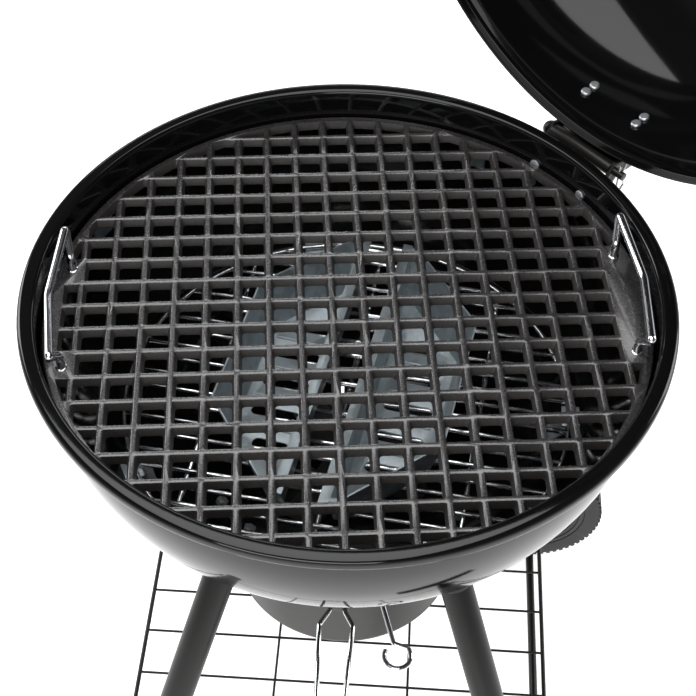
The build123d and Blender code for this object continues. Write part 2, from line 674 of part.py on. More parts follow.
# ---------------------------------------------------------------- vent sweeper
def make_sweeper():
    """Three blades that lie on the bowl's floor, on one shaft."""
    rise = BOWL_WALL + BLADE_GAP
    skin = bowl_body(-rise) - bowl_body(-rise - BLADE_SHEET)
    length = VENT_OUTER + BLADE_LAP
    blade = Pos(length / 2, 0) * RectangleRounded(length, VENT_WIDTH + 2 * BLADE_LAP, 8)
    outline = Circle(SHAFT_R * 4)
    for k in range(VENTS):
        outline += Rot(0, 0, VENT_TURN + BLADE_REST + 360 / VENTS * k) * blade
    blades = skin & Pos(0, 0, BOWL_BOTTOM - 20) * extrude(outline, BOWL_DEPTH / 2)
    low = LEVER_Z - 16
    shaft = Pos(0, 0, low) * Cylinder(SHAFT_R, BOWL_BOTTOM + rise + BLADE_SHEET + 8 - low, align=UP)
    return blades + shaft


def make_lever():
    """Wire lever with an open finger loop, and the collar that holds it to the shaft."""
    collar = Pos(0, 0, LEVER_Z) * (Cylinder(SHAFT_R + 4, 10) - Cylinder(SHAFT_R, 20))
    arm = wire([(SHAFT_R + 2, 0, 0), (LEVER_REACH, 0, 0), (LEVER_REACH + 9, LOOP_R, 0), (LEVER_REACH + 14, LOOP_R, 0)],
               LEVER_WIRE_R, 4)
    loop_x = LEVER_REACH + 14
    arc = CenterArc((loop_x, 0, 0), LOOP_R, 90, -LOOP_ARC)
    loop = sweep(Plane(arc @ 0, z_dir=arc % 0) * Circle(LEVER_WIRE_R), path=arc)
    return collar + Pos(0, 0, LEVER_Z) * Rot(0, 0, LEVER_ANGLE) * (arm + loop)


def make_sweeper_nut():
    return Pos(0, 0, LEVER_Z - 5 - 8) * (extrude(RegularPolygon(9, 6), 8) - Cylinder(SHAFT_R, 40))


# ---------------------------------------------------------------- ash bucket
def make_hanger():
    """Hoop round the bucket's rim, on three straps from the bowl."""
    inner = ASH_R + ASH_BEAD_R + HOOP_GAP
    outer = inner + ASH_SHEET
    hoop = ring(inner, outer, ASH_TOP - HOOP_TALL, ASH_TOP + 2)
    under = bowl_body()
    skin = bowl_body(ASH_SHEET) - under
    tube = ring(inner, outer, ASH_TOP - HOOP_TALL, EQUATOR_Z - 60)
    for angle in HANGER_ANGLES:
        lane = Rot(0, 0, angle) * block((0, -HANGER_WIDTH / 2, 0), (outer + 1, HANGER_WIDTH / 2, EQUATOR_Z))
        half = HANGER_WIDTH / 2
        foot = Rot(0, 0, angle) * block((inner - 16, -half, 0), (outer, half, EQUATOR_Z))
        hoop += (tube & lane) - under
        hoop += skin & foot
    return hoop


def make_bucket():
    low = ASH_TOP - ASH_TALL
    def can(radius, floor, top):
        solid = Pos(0, 0, floor) * Cylinder(radius, top - floor, align=UP)
        return fillet(solid.edges().group_by(Axis.Z)[0], ASH_CORNER)
    pan = can(ASH_R, low, ASH_TOP) - can(ASH_R - ASH_SHEET, low + ASH_SHEET, ASH_TOP + 5)
    return pan + Pos(0, 0, ASH_TOP) * Torus(ASH_R, ASH_BEAD_R)


def make_bucket_plate():
    """Plate on the bucket's front that holds the ends of its wire handle."""
    middle = ASH_TOP - ASH_HANDLE_DROP
    skin = ring(ASH_R, ASH_R + 3, middle - 8, middle + 10)
    plate = skin & block((-12, -ASH_R - 4, 0), (12, 0, RIM_HEIGHT))
    for x in (-ASH_WIRE_X, ASH_WIRE_X):
        plate -= rod((x, -ASH_R - 5, middle), (x, -ASH_R + 8, middle), ASH_WIRE_R)
    return plate


def make_bucket_handle():
    z = ASH_TOP - ASH_HANDLE_DROP
    start = -math.sqrt(ASH_R ** 2 - ASH_WIRE_X ** 2) - 0.2
    wide, end = ASH_HANDLE_HALF + 4, -ASH_R - ASH_HANDLE_REACH
    route = [(-ASH_WIRE_X, start, z), (-ASH_WIRE_X, start - 8, z), (-wide, start - 24, z),
             (-ASH_HANDLE_HALF, end, z), (ASH_HANDLE_HALF, end, z), (wide, start - 24, z),
             (ASH_WIRE_X, start - 8, z), (ASH_WIRE_X, start, z)]
    return wire(route, ASH_WIRE_R, [5, 12, 9, 9, 12, 5])


# ---------------------------------------------------------------- legs, axle and wheels
def leg_bar(side, end, radius, high, low):
    """Round bar along a leg's centre line between two heights."""
    return rod(leg_point(side, end, high), leg_point(side, end, low), radius)


def make_socket(side, end):
    """Plate on the bowl with the spigot that the leg's tube slides over."""
    angle = math.degrees(math.atan2(end, side))
    skin = bowl_body(SOCKET_PLATE) - bowl_body()
    half = SOCKET_BOLT_R * math.sin(math.radians(SOCKET_HALF_ANGLE))
    plate = skin & block((SOCKET_BOLT_R - 32, -half, 0), (SOCKET_BOLT_R + 18, half, EQUATOR_Z))
    plate = Rot(0, 0, angle) * plate
    spigot = leg_bar(side, end, SOCKET_R, EQUATOR_Z, LEG_TOP_Z - SOCKET_DEPTH) - bowl_body()
    collar = leg_bar(side, end, LEG_R, LEG_TOP_Z + 10, LEG_TOP_Z)
    socket = plate + spigot + collar
    for place in socket_bolt_places():
        socket -= place * Pos(0, 0, SOCKET_PLATE) * Cylinder(BOLT_HOLE_R, 12)
    return socket


def make_leg(side, end):
    low = AXLE_Z - LEG_TAIL if side > 0 else FOOT_FLOOR
    bore = leg_bar(side, end, LEG_R - LEG_WALL, LEG_TOP_Z + 5, low - 5)
    tube = leg_bar(side, end, LEG_R, LEG_TOP_Z, low) - bore
    if side > 0:
        x = leg_offset(AXLE_Z)
        tube -= rod((x, end * (x - 40), AXLE_Z), (x, end * (x + 40), AXLE_Z), AXLE_R)
    height = SHELF_Z
    x = leg_offset(height)
    tube -= rod((side * (x - 2), end * x, height), (side * (x + 40), end * x, height), SCREW_R)
    return tube


def make_foot(end):
    bore = leg_bar(-1, end, LEG_R, FOOT_TALL + 30, FOOT_FLOOR)
    cap = leg_bar(-1, end, LEG_R + FOOT_WALL, FOOT_TALL, -20) - bore
    ground = block((-BOWL_R * 2, -BOWL_R * 2, -60), (BOWL_R * 2, BOWL_R * 2, 0))
    return cap - ground


def make_axle():
    x = leg_offset(AXLE_Z)
    half = WHEEL_FACE + WHEEL_WIDTH + AXLE_TAIL
    return rod((x, -half, AXLE_Z), (x, half, AXLE_Z), AXLE_R)


def make_axle_cap(end):
    x = leg_offset(AXLE_Z)
    start = WHEEL_FACE + WHEEL_WIDTH + CAP_GAP
    dome = Sphere(AXLE_CAP_R) & block((-20, -20, 0), (20, 20, 20))
    cap = dome - Cylinder(AXLE_R, 2 * (AXLE_TAIL - CAP_GAP))
    return Pos(x, end * start, AXLE_Z) * Rot(-90 * end, 0, 0) * cap


def make_wheel(end):
    """Moulded wheel: lugged tread, grooved side walls, spokes and hub, its axis along z."""
    tread = WHEEL_R - LUG_TALL
    inner = WHEEL_R - WHEEL_RIM
    outline = Circle(tread) - Circle(inner)
    spokes = Circle(WHEEL_HUB_R)
    for k in range(SPOKES):
        bar = Pos((WHEEL_HUB_R + inner) / 2, 0) * Rectangle(inner - WHEEL_HUB_R + 6, SPOKE_WIDTH)
        spokes += Rot(0, 0, WHEEL_TURN + 360 / SPOKES * k) * bar
    wheel = extrude(outline, WHEEL_WIDTH / 2, both=True)
    wheel += extrude(spokes, SPOKE_TALL / 2, both=True)
    wheel += Pos(0, 0, end * HUB_BOSS / 2) * Cylinder(WHEEL_HUB_R, WHEEL_WIDTH + HUB_BOSS)
    for radius in GROOVES:
        for z in (-WHEEL_WIDTH / 2, WHEEL_WIDTH / 2):
            wheel -= Pos(0, 0, z) * (Cylinder(radius + 1, 3) - Cylinder(radius - 1, 3))
    lug_arc = 360 / LUGS
    lug_width = tread * math.radians(lug_arc) * 0.55
    lug = Pos(tread + LUG_TALL / 2 - 1, 0, 0) * Box(LUG_TALL + 2, lug_width, WHEEL_WIDTH)
    wheel += [Rot(0, 0, lug_arc * k) * lug for k in range(LUGS)]
    wheel &= Cylinder(WHEEL_R, 2 * WHEEL_WIDTH)
    wheel -= Cylinder(AXLE_R + RUNNING, 2 * WHEEL_WIDTH)
    middle = WHEEL_FACE + WHEEL_WIDTH / 2
    return Pos(leg_offset(AXLE_Z), end * middle, AXLE_Z) * Rot(90, 0, 0) * wheel


# ---------------------------------------------------------------- shelf
def make_shelf():
    """Wire shelf: two side rods outside the legs, two end rods, cross wires and depth wires."""
    side_x = leg_offset(SHELF_Z) + LEG_R + SHELF_ROD_R + SHELF_GAP
    reach = leg_offset(SHELF_Z) + SHELF_LUG
    rods = [rod((x, -reach, SHELF_Z), (x, reach, SHELF_Z), SHELF_ROD_R) for x in (-side_x, side_x)]
    for y in (-SHELF_HALF_Y, SHELF_HALF_Y):
        rods.append(rod((-side_x, y, SHELF_Z), (side_x, y, SHELF_Z), SHELF_ROD_R))
    count = int(2 * SHELF_HALF_Y / SHELF_PITCH)
    for k in range(count):
        y = SHELF_SHIFT + (k - (count - 1) / 2) * SHELF_PITCH
        rods.append(rod((-side_x, y, SHELF_Z), (side_x, y, SHELF_Z), SHELF_WIRE_R))
    lower = SHELF_Z - SHELF_WIRE_R * 1.6
    for x in (-SHELF_BAY, SHELF_BAY):
        rods.append(rod((x, -SHELF_HALF_Y, lower), (x, SHELF_HALF_Y, lower), SHELF_WIRE_R))
    shelf = rods[0] + rods[1:]
    for x in (-side_x, side_x):
        for y in (-1, 1):
            eye_y = y * (leg_offset(SHELF_Z))
            shelf += Pos(x, eye_y, SHELF_Z) * Rot(0, 90, 0) * Cylinder(SHELF_EYE_R, 2 * SHELF_ROD_R)
            shelf -= Pos(x, eye_y, SHELF_Z) * Rot(0, 90, 0) * Cylinder(SCREW_R, 20)
    return shelf


def make_shelf_screws():
    side_x = leg_offset(SHELF_Z) + LEG_R + SHELF_GAP
    screws = []
    for side in (-1, 1):
        for end in (-1, 1):
            y = end * leg_offset(SHELF_Z)
            outer = side * (side_x + 2 * SHELF_ROD_R)
            head = rod((outer, y, SHELF_Z), (outer + side * 3, y, SHELF_Z), SCREW_HEAD_R)
            shank = rod((side * (leg_offset(SHELF_Z) + 4), y, SHELF_Z), (outer, y, SHELF_Z), SCREW_R)
            screws.append(head + shank)
    return screws


# ---------------------------------------------------------------- all nodes
def build_nodes():
    nodes = {"bowl": make_bowl()}
    grate_bottom = GRATE_Z - GRATE_THICK - REST_GAP
    nodes["grate_tabs"] = solids_of(make_tabs(GRATE_TAB_ANGLES, grate_bottom, GRATE_R - TAB_LAP))
    places = coal_tab_places()
    tabs = make_tabs(COAL_TAB_ANGLES, COAL_TAB_TOP, COAL_GRATE_R - TAB_LAP, places)
    nodes["coal_tabs"] = solids_of(tabs)
    wall = BOWL_WALL + TAB_SHEET
    nodes["tab_screws"] = solids_of([p * bolt(wall) for p in places])
    nodes["tab_nuts"] = solids_of([p * nut(wall) for p in places])
    nodes["lid"] = opened(make_lid())
    nodes["lid_damper"] = opened(make_damper())
    nodes["lid_rivet"] = opened(make_rivet())
    nodes["lid_grip"] = opened(make_grip())
    nodes["grip_bracket_left"] = opened(make_grip_bracket(-1))
    nodes["grip_bracket_right"] = opened(make_grip_bracket(1))
    nodes["grip_screws"] = solids_of([opened(s) for s in make_grip_screws()])
    nodes["hinge_lid_bracket"] = opened(make_lid_bracket())
    screw = pan_head_screw(LID_WALL)
    nodes["hinge_lid_screws"] = solids_of([opened(p * screw) for p in lid_screw_places()])
    nodes["hinge_bowl_bracket"] = make_bowl_bracket()
    places = hinge_bolt_places()
    nodes["hinge_bolts"] = solids_of([p * low_bolt(BOWL_WALL, HINGE_PLATE) for p in places])
    outer_nut = Pos(0, 0, HINGE_PLATE + NUT_TALL + 2 * SEAT_GAP) * nut(0)
    nodes["hinge_nuts"] = solids_of([p * outer_nut for p in places])
    nodes["hinge_pin"] = make_hinge_pin()
    nodes["hinge_clip"] = make_hinge_clip()
    nodes["cooking_grate"] = make_cooking_grate()
    nodes["grate_handle_left"] = make_grate_handle(-1)
    nodes["grate_handle_right"] = make_grate_handle(1)
    nodes["charcoal_grate"] = make_coal_grate()
    nodes["charcoal_basket_left"] = make_basket(-1)
    nodes["charcoal_basket_right"] = make_basket(1)
    nodes["vent_sweeper"] = make_sweeper()
    nodes["sweeper_lever"] = make_lever()
    nodes["sweeper_nut"] = make_sweeper_nut()
    nodes["ash_hanger"] = make_hanger()
    nodes["ash_bucket"] = make_bucket()
    nodes["ash_handle_plate"] = make_bucket_plate()
    nodes["ash_handle"] = make_bucket_handle()
    for end, end_name in ((-1, "front"), (1, "rear")):
        for side, side_name in ((-1, "left"), (1, "right")):
            nodes[f"leg_socket_{end_name}_{side_name}"] = make_socket(side, end)
            nodes[f"leg_{end_name}_{side_name}"] = make_leg(side, end)
        nodes[f"foot_{end_name}"] = make_foot(end)
        nodes[f"wheel_{end_name}"] = make_wheel(end)
        nodes[f"axle_cap_{end_name}"] = make_axle_cap(end)
    wall = BOWL_WALL + SOCKET_PLATE
    places = socket_bolt_places()
    nodes["socket_bolts"] = solids_of([p * Pos(0, 0, SOCKET_PLATE) * bolt(wall) for p in places])
    nodes["socket_nuts"] = solids_of([p * nut(BOWL_WALL) for p in places])
    nodes["axle"] = make_axle()
    nodes["shelf"] = make_shelf()
    nodes["shelf_screws"] = solids_of(make_shelf_screws())
    return nodes


def main():
    os.makedirs("parts", exist_ok=True)
    for name, shape in build_nodes().items():
        export_step(shape, f"parts/{name}.step")


main()
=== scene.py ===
import math
import json

import bpy
from mathutils import Matrix, Vector

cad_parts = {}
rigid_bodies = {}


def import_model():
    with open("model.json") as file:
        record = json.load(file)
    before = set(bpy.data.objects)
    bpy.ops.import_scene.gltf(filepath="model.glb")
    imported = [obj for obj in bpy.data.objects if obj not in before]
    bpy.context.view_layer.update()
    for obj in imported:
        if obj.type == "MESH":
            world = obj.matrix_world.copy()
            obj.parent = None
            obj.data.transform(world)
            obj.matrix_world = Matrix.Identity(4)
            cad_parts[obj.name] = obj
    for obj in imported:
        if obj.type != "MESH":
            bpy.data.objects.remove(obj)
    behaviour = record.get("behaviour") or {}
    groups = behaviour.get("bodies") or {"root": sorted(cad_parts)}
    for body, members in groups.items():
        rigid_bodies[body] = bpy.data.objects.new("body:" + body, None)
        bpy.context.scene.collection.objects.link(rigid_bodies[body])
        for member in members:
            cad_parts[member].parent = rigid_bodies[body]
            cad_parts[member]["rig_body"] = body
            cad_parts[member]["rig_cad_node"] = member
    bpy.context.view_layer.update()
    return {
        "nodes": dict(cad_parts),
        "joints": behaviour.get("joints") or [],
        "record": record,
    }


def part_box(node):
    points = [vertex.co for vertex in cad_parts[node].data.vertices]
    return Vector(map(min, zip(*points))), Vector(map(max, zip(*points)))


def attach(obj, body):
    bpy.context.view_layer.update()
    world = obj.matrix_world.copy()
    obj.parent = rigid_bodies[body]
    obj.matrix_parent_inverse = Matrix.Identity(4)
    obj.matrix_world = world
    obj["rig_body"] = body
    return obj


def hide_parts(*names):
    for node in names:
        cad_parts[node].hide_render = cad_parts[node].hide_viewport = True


bl_info = {
    "name": "Kettle grill workshop",
    "version": (1, 0, 0),
    "blender": (4, 5, 0),
    "location": "View3D > Sidebar > Kettle grill",
    "description": "Models and finishes a kettle charcoal grill round its mechanical frame",
    "category": "Object",
}

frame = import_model()
SLOT_OF = {part["node"]: part["material_slot"] for part in frame["record"]["subparts"]}
HINGE = next(joint for joint in frame["joints"] if joint["name"] == "lid_hinge")
BOWL_LOW, BOWL_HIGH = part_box("bowl")
GRATE_LOW, GRATE_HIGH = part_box("cooking_grate")
FIRE_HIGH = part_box("charcoal_grate")[1]
PAIL_LOW, PAIL_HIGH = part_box("ash_bucket")
MM = 0.001


# ------------------------------------------------------------------ sizes and colours
class KettleShellSizes(bpy.types.PropertyGroup):
    rim_radius: bpy.props.FloatProperty(
        name="Rim radius", description="Outside radius of the bowl's rolled rim",
        default=BOWL_HIGH[0], unit="LENGTH")
    rim_height: bpy.props.FloatProperty(
        name="Rim height", description="Top of the bowl's rim above the ground",
        default=BOWL_HIGH[2], unit="LENGTH")
    wall_radius: bpy.props.FloatProperty(
        name="Wall radius", description="Outside radius of the bowl's and lid's wall",
        default=0.273, unit="LENGTH")
    wall: bpy.props.FloatProperty(
        name="Wall", description="Thickness of the enamelled sheet",
        default=0.002, unit="LENGTH")
    straight: bpy.props.FloatProperty(
        name="Straight wall", description="Height of the bowl's straight wall under the rim's top",
        default=0.030, unit="LENGTH")
    rim_tall: bpy.props.FloatProperty(
        name="Rim tall", description="Height of the rolled rim", default=0.012, unit="LENGTH")
    lid_straight: bpy.props.FloatProperty(
        name="Lid straight wall", description="Height of the lid's straight wall",
        default=0.012, unit="LENGTH")
    lid_dome: bpy.props.FloatProperty(
        name="Lid dome", description="Height of the lid's round part",
        default=0.178, unit="LENGTH")
    lid_shoulder: bpy.props.FloatProperty(
        name="Lid shoulder", description="Radius of the lid's shoulder under its flatter crown",
        default=0.134, unit="LENGTH")
    lip_tall: bpy.props.FloatProperty(
        name="Lid lip", description="Height of the lip that hangs round the rim",
        default=0.011, unit="LENGTH")
    steps: bpy.props.IntProperty(
        name="Steps round", description="Facets round the bowl and the lid", default=160, min=24)


class KettleGrateSizes(bpy.types.PropertyGroup):
    radius: bpy.props.FloatProperty(
        name="Radius", description="Outside radius of the casting",
        default=GRATE_HIGH[0], unit="LENGTH")
    pitch: bpy.props.FloatProperty(
        name="Pitch", description="Distance between bars", default=0.028, unit="LENGTH")
    bar_top: bpy.props.FloatProperty(
        name="Bar top", description="Width of a bar's flat top", default=0.0036, unit="LENGTH")
    bar_foot: bpy.props.FloatProperty(
        name="Bar foot", description="Width of a bar at its foot", default=0.0086, unit="LENGTH")
    ring: bpy.props.FloatProperty(
        name="Ring", description="Width of the solid ring round the cells",
        default=0.008, unit="LENGTH")
    turn: bpy.props.FloatProperty(
        name="Turn", description="How the grate lies turned in the bowl",
        default=math.radians(6.2), subtype="ANGLE")
    handle_x: bpy.props.FloatProperty(
        name="Handle place", description="Distance of a handle's legs from the middle",
        default=0.247, unit="LENGTH")
    handle_feet: bpy.props.FloatProperty(
        name="Handle feet", description="Distance between the legs of one handle",
        default=0.118, unit="LENGTH")
    handle_grip: bpy.props.FloatProperty(
        name="Handle grip", description="Length of a handle's grip", default=0.156, unit="LENGTH")
    handle_tall: bpy.props.FloatProperty(
        name="Handle height", description="Height of the grip's middle over the grate",
        default=0.033, unit="LENGTH")
    handle_wire: bpy.props.FloatProperty(
        name="Handle wire", description="Radius of the handles' wire",
        default=0.004, unit="LENGTH")


class KettleFireSizes(bpy.types.PropertyGroup):
    pitch: bpy.props.FloatProperty(
        name="Wire pitch", description="Distance between the charcoal grate's wires",
        default=0.0185, unit="LENGTH")
    wire: bpy.props.FloatProperty(
        name="Wire radius", description="Radius of the charcoal grate's wires",
        default=0.0025, unit="LENGTH")
    turn: bpy.props.FloatProperty(
        name="Turn", description="How the charcoal grate lies turned in the bowl",
        default=math.radians(-7.0), subtype="ANGLE")


class KettleLeverSizes(bpy.types.PropertyGroup):
    lever_angle: bpy.props.FloatProperty(
        name="Lever angle", description="Direction of the vent lever", default=math.radians(-73.3),
        subtype="ANGLE")
    lever_reach: bpy.props.FloatProperty(
        name="Lever reach", description="Length of the lever up to its loop", default=0.196,
        unit="LENGTH")
    loop_radius: bpy.props.FloatProperty(
        name="Loop radius", description="Radius of the lever's finger loop", default=0.0125,
        unit="LENGTH")
    lever_wire: bpy.props.FloatProperty(
        name="Lever wire", description="Radius of the lever's wire", default=0.0024, unit="LENGTH")


class KettleColours(bpy.types.PropertyGroup):
    enamel: bpy.props.FloatVectorProperty(
        name="Enamel", description="Porcelain enamel of the bowl and the lid", subtype="COLOR",
        size=3, min=0, max=1, default=(0.0035, 0.0035, 0.0038))
    casting: bpy.props.FloatVectorProperty(
        name="Casting", description="Cast iron of the cooking grate", subtype="COLOR",
        size=3, min=0, max=1, default=(0.021, 0.0195, 0.0212))
    chrome: bpy.props.FloatVectorProperty(
        name="Chrome", description="Plated wires", subtype="COLOR",
        size=3, min=0, max=1, default=(0.80, 0.81, 0.83))
    zinc: bpy.props.FloatVectorProperty(
        name="Zinc", description="Galvanised sheet of the baskets", subtype="COLOR",
        size=3, min=0, max=1, default=(0.46, 0.52, 0.55))
    pail: bpy.props.FloatVectorProperty(
        name="Pail", description="Grey steel of the ash pail", subtype="COLOR",
        size=3, min=0, max=1, default=(0.034, 0.033, 0.031))
    paint: bpy.props.FloatVectorProperty(
        name="Paint", description="Black paint of the legs, shelf and hinge", subtype="COLOR",
        size=3, min=0, max=1, default=(0.0085, 0.0078, 0.0072))
    plastic: bpy.props.FloatVectorProperty(
        name="Plastic", description="Moulded plastic of the wheels and feet", subtype="COLOR",
        size=3, min=0, max=1, default=(0.028, 0.028, 0.030))


# ------------------------------------------------------------------ shader maths
class Reading:
    """A shader socket in a sum: each operator adds the Math node that it stands for."""

    def __init__(self, finish, socket):
        self.finish = finish
        self.socket = socket

    def sum(self, operation, first, second):
        return self.finish.node("ShaderNodeMath", {"operation": operation}, {0: first, 1: second})

    def __add__(self, other):
        return self.sum("ADD", self, other)

    def __radd__(self, other):
        return self.sum("ADD", other, self)

    def __sub__(self, other):
        return self.sum("SUBTRACT", self, other)

    def __rsub__(self, other):
        return self.sum("SUBTRACT", other, self)

    def __mul__(self, other):
        return self.sum("MULTIPLY", self, other)

    def __rmul__(self, other):
        return self.sum("MULTIPLY", other, self)


class Finish:
    """One material under construction."""

    def __init__(self, name):
        self.material = bpy.data.materials.new(name)
        self.material.use_nodes = True
        self.tree = self.material.node_tree
        self.shader = self.tree.nodes["Principled BSDF"]
        self.place = self.node("ShaderNodeTexCoord", output="Object")

    def node(self, kind, settings=None, links=None, output=0):
        """Adds a node: its settings first, then the values or links of its sockets."""
        made = self.tree.nodes.new(kind)
        for key, value in (settings or {}).items():
            if key == "stops":
                self.fill_ramp(made.color_ramp, value)
            else:
                setattr(made, key, value)
        self.join(made, links or {})
        return Reading(self, made.outputs[output])

    def fill_ramp(self, ramp, stops):
        while len(ramp.elements) < len(stops):
            ramp.elements.new(0.5)
        for element, (position, shade) in zip(ramp.elements, stops):
            element.position = position
            element.color = (shade, shade, shade, 1)

    def join(self, node, links):
        for key, value in links.items():
            if isinstance(value, Reading):
                self.tree.links.new(value.socket, node.inputs[key])
            elif isinstance(value, tuple) and len(value) == 3 and node.inputs[key].type == "RGBA":
                node.inputs[key].default_value = (*value, 1)
            else:
                node.inputs[key].default_value = value

    def noise(self, scale, detail=3.0, roughness=0.5, at=None):
        return self.node("ShaderNodeTexNoise", None, {
            "Vector": at or self.place, "Scale": scale, "Detail": detail, "Roughness": roughness})

    def ramp(self, factor, stops):
        return self.node("ShaderNodeValToRGB", {"stops": stops}, {0: factor})

    def blend(self, factor, first, second):
        """Colour between two colours."""
        return self.node("ShaderNodeMix", {"data_type": "RGBA"},
                         {"Factor": factor, 6: first, 7: second}, output=2)

    def stretch(self, scale):
        """The piece's own coordinates, scaled so that a pattern runs in streaks."""
        return self.node("ShaderNodeMapping", None, {"Vector": self.place, "Scale": scale})

    def relief(self, height, strength, depth, under=None):
        links = {"Height": height, "Strength": strength, "Distance": depth}
        if under is not None:
            links["Normal"] = under
        return self.node("ShaderNodeBump", None, links)

    def surface(self, **sockets):
        names = {name.replace("_", " "): value for name, value in sockets.items()}
        self.join(self.shader, names)
        return self.material


def enamel_finish(colour):
    """Glossy porcelain enamel: nearly black, with a faint flow in its surface and fine dust."""
    finish = Finish("porcelain enamel")
    flow = finish.noise(14.0, 2.0)
    peel = finish.noise(420.0, 2.0)
    dust = finish.ramp(finish.noise(900.0, 1.0), [(0.66, 0.0), (0.74, 1.0)])
    relief = finish.relief(flow, 0.10, 0.0012)
    relief = finish.relief(peel, 0.05, 0.00012, relief)
    grey = tuple(channel * 2.4 for channel in colour)
    return finish.surface(
        Base_Color=finish.blend(dust * 0.4, colour, grey),
        Roughness=0.055 + 0.05 * finish.noise(60.0, 4.0),
        Normal=relief, Specular_IOR_Level=0.34, IOR=1.52)


def casting_finish(colour):
    """Cast iron with a baked glossy coat: sandy relief, bright specks, browner, duller walls;
    walls and undersides are also painted darker than the tops as painted shade.
    """
    finish = Finish("cast iron")
    sand = finish.noise(1100.0, 3.0, 0.7)
    lumps = finish.noise(210.0, 3.0, 0.6)
    patches = finish.ramp(finish.noise(22.0, 3.0), [(0.35, 0.0), (0.65, 1.0)])
    normal = finish.node("ShaderNodeNewGeometry", output="Normal")
    upward = finish.node("ShaderNodeSeparateXYZ", None, {0: normal}, output="Z")
    # Mask of the walls and of faces that look down: the colour below paints them darker and
    # browner than the tops, and the darkening is painted shade.
    wall = finish.ramp(upward, [(0.25, 1.0), (0.60, 0.0)])
    brown = (colour[0] * 1.05, colour[1] * 0.98, colour[2] * 0.72)
    light = tuple(channel * 1.7 for channel in colour)
    base = finish.blend(patches * 0.6, colour, light)
    # Painted shade: the walls and undersides lose the tops' lighter patches and take the darker
    # brown.
    base = finish.blend(wall * (0.55 + 0.45 * sand), base, brown)
    grains = finish.ramp(sand, [(0.58, 0.0), (0.66, 1.0)])
    relief = finish.relief(sand, 0.50, 0.00040)
    relief = finish.relief(lumps, 0.35, 0.0008, relief)
    return finish.surface(
        Base_Color=finish.blend(grains * 0.45, base, (0.15, 0.142, 0.13)),
        Roughness=0.20 + 0.14 * lumps + 0.30 * wall,
        Coat_Weight=0.9 * (1 - wall), Coat_Roughness=0.15,
        Normal=relief, Specular_IOR_Level=0.8)


def chrome_finish(colour):
    """Plated wire: bright, with faint drawing marks and duller patches."""
    finish = Finish("plated wire")
    marks = finish.noise(700.0, 2.0)
    dull = finish.noise(45.0, 4.0)
    return finish.surface(
        Base_Color=finish.blend(finish.ramp(dull, [(0.4, 0.0), (0.7, 1.0)]) * 0.5, colour,
                                tuple(channel * 0.72 for channel in colour)),
        Metallic=1.0, Roughness=0.07 + 0.10 * dull, Normal=finish.relief(marks, 0.06, 0.0001))


def zinc_finish(colour):
    """Galvanised sheet: spangles of slightly different grey, rolled streaks."""
    finish = Finish("galvanised sheet")
    spangle = finish.node("ShaderNodeTexVoronoi", None,
                          {"Vector": finish.place, "Scale": 95.0}, output="Color")
    shade = finish.node("ShaderNodeSeparateColor", None, {0: spangle}, output=0)
    streaks = finish.noise(6.0, 4.0, 0.6, at=finish.stretch((1.0, 18.0, 1.0)))
    cold = tuple(channel * 0.78 for channel in colour)
    warm = tuple(min(1.0, channel * 1.12) for channel in colour)
    base = finish.blend(shade, cold, warm)
    return finish.surface(
        Base_Color=finish.blend(streaks * 0.25, base, (0.55, 0.60, 0.62)),
        Metallic=0.65, Roughness=0.32 + 0.14 * shade + 0.08 * streaks,
        Normal=finish.relief(shade, 0.05, 0.0002))


def pail_finish(colour):
    """Satin grey steel with fine turning lines round the can."""
    finish = Finish("satin steel")
    lines = finish.noise(3.0, 3.0, 0.6, at=finish.stretch((1.0, 1.0, 220.0)))
    cloud = finish.noise(9.0, 3.0)
    return finish.surface(
        Base_Color=finish.blend(cloud, colour, tuple(channel * 1.3 for channel in colour)),
        Metallic=0.35, Roughness=0.34 + 0.10 * lines + 0.06 * cloud,
        Normal=finish.relief(lines, 0.08, 0.0003))


def paint_finish(colour, name="black paint", gloss=0.26):
    """Baked paint: fine orange peel and a few duller patches."""
    finish = Finish(name)
    peel = finish.noise(520.0, 2.0)
    cloud = finish.noise(17.0, 3.0)
    return finish.surface(
        Base_Color=finish.blend(cloud, colour, tuple(channel * 1.35 for channel in colour)),
        Roughness=gloss + 0.12 * cloud, Normal=finish.relief(peel, 0.16, 0.00025),
        Specular_IOR_Level=0.30)


def plastic_finish(colour):
    """Moulded plastic with a fine spark-eroded grain."""
    finish = Finish("moulded plastic")
    grain = finish.noise(1400.0, 2.0)
    cloud = finish.noise(30.0, 3.0)
    return finish.surface(
        Base_Color=finish.blend(cloud, colour, tuple(channel * 1.25 for channel in colour)),
        Roughness=0.50 + 0.15 * grain, Normal=finish.relief(grain, 0.25, 0.0002))


def hardware_finish():
    """Bright zinc plate of nuts, bolts and screws."""
    finish = Finish("bright zinc plate")
    stain = finish.noise(160.0, 4.0)
    scratch = finish.noise(50.0, 2.0, at=finish.stretch((1.0, 9.0, 1.0)))
    return finish.surface(
        Base_Color=finish.blend(stain, (0.55, 0.57, 0.60), (0.78, 0.79, 0.80)),
        Metallic=0.85, Roughness=0.26 + 0.22 * stain, Normal=finish.relief(scratch, 0.10, 0.0001))


FINISHES = {}


def make_finishes(colours):
    def shade(name):
        return tuple(getattr(colours, name))
    FINISHES.update(
        enamel=enamel_finish(shade("enamel")), cast_iron=casting_finish(shade("casting")),
        chrome=chrome_finish(shade("chrome")), zinc=zinc_finish(shade("zinc")),
        ash_steel=pail_finish(shade("pail")), black_steel=paint_finish(shade("paint")),
        lid_steel=pail_finish((0.45, 0.45, 0.46)), black_plastic=plastic_finish(shade("plastic")),
        grip=paint_finish((0.012, 0.012, 0.012), "satin nylon", 0.38), hardware=hardware_finish())


# ------------------------------------------------------------------ modelling helpers
def clear_selection():
    if bpy.context.object is not None and bpy.context.object.mode != "OBJECT":
        bpy.ops.object.mode_set(mode="OBJECT")
    bpy.ops.object.select_all(action="DESELECT")


def take(*objects):
    """Selects only these objects and makes the first the active one."""
    clear_selection()
    for piece in objects:
        piece.select_set(True)
    bpy.context.view_layer.objects.active = objects[0]


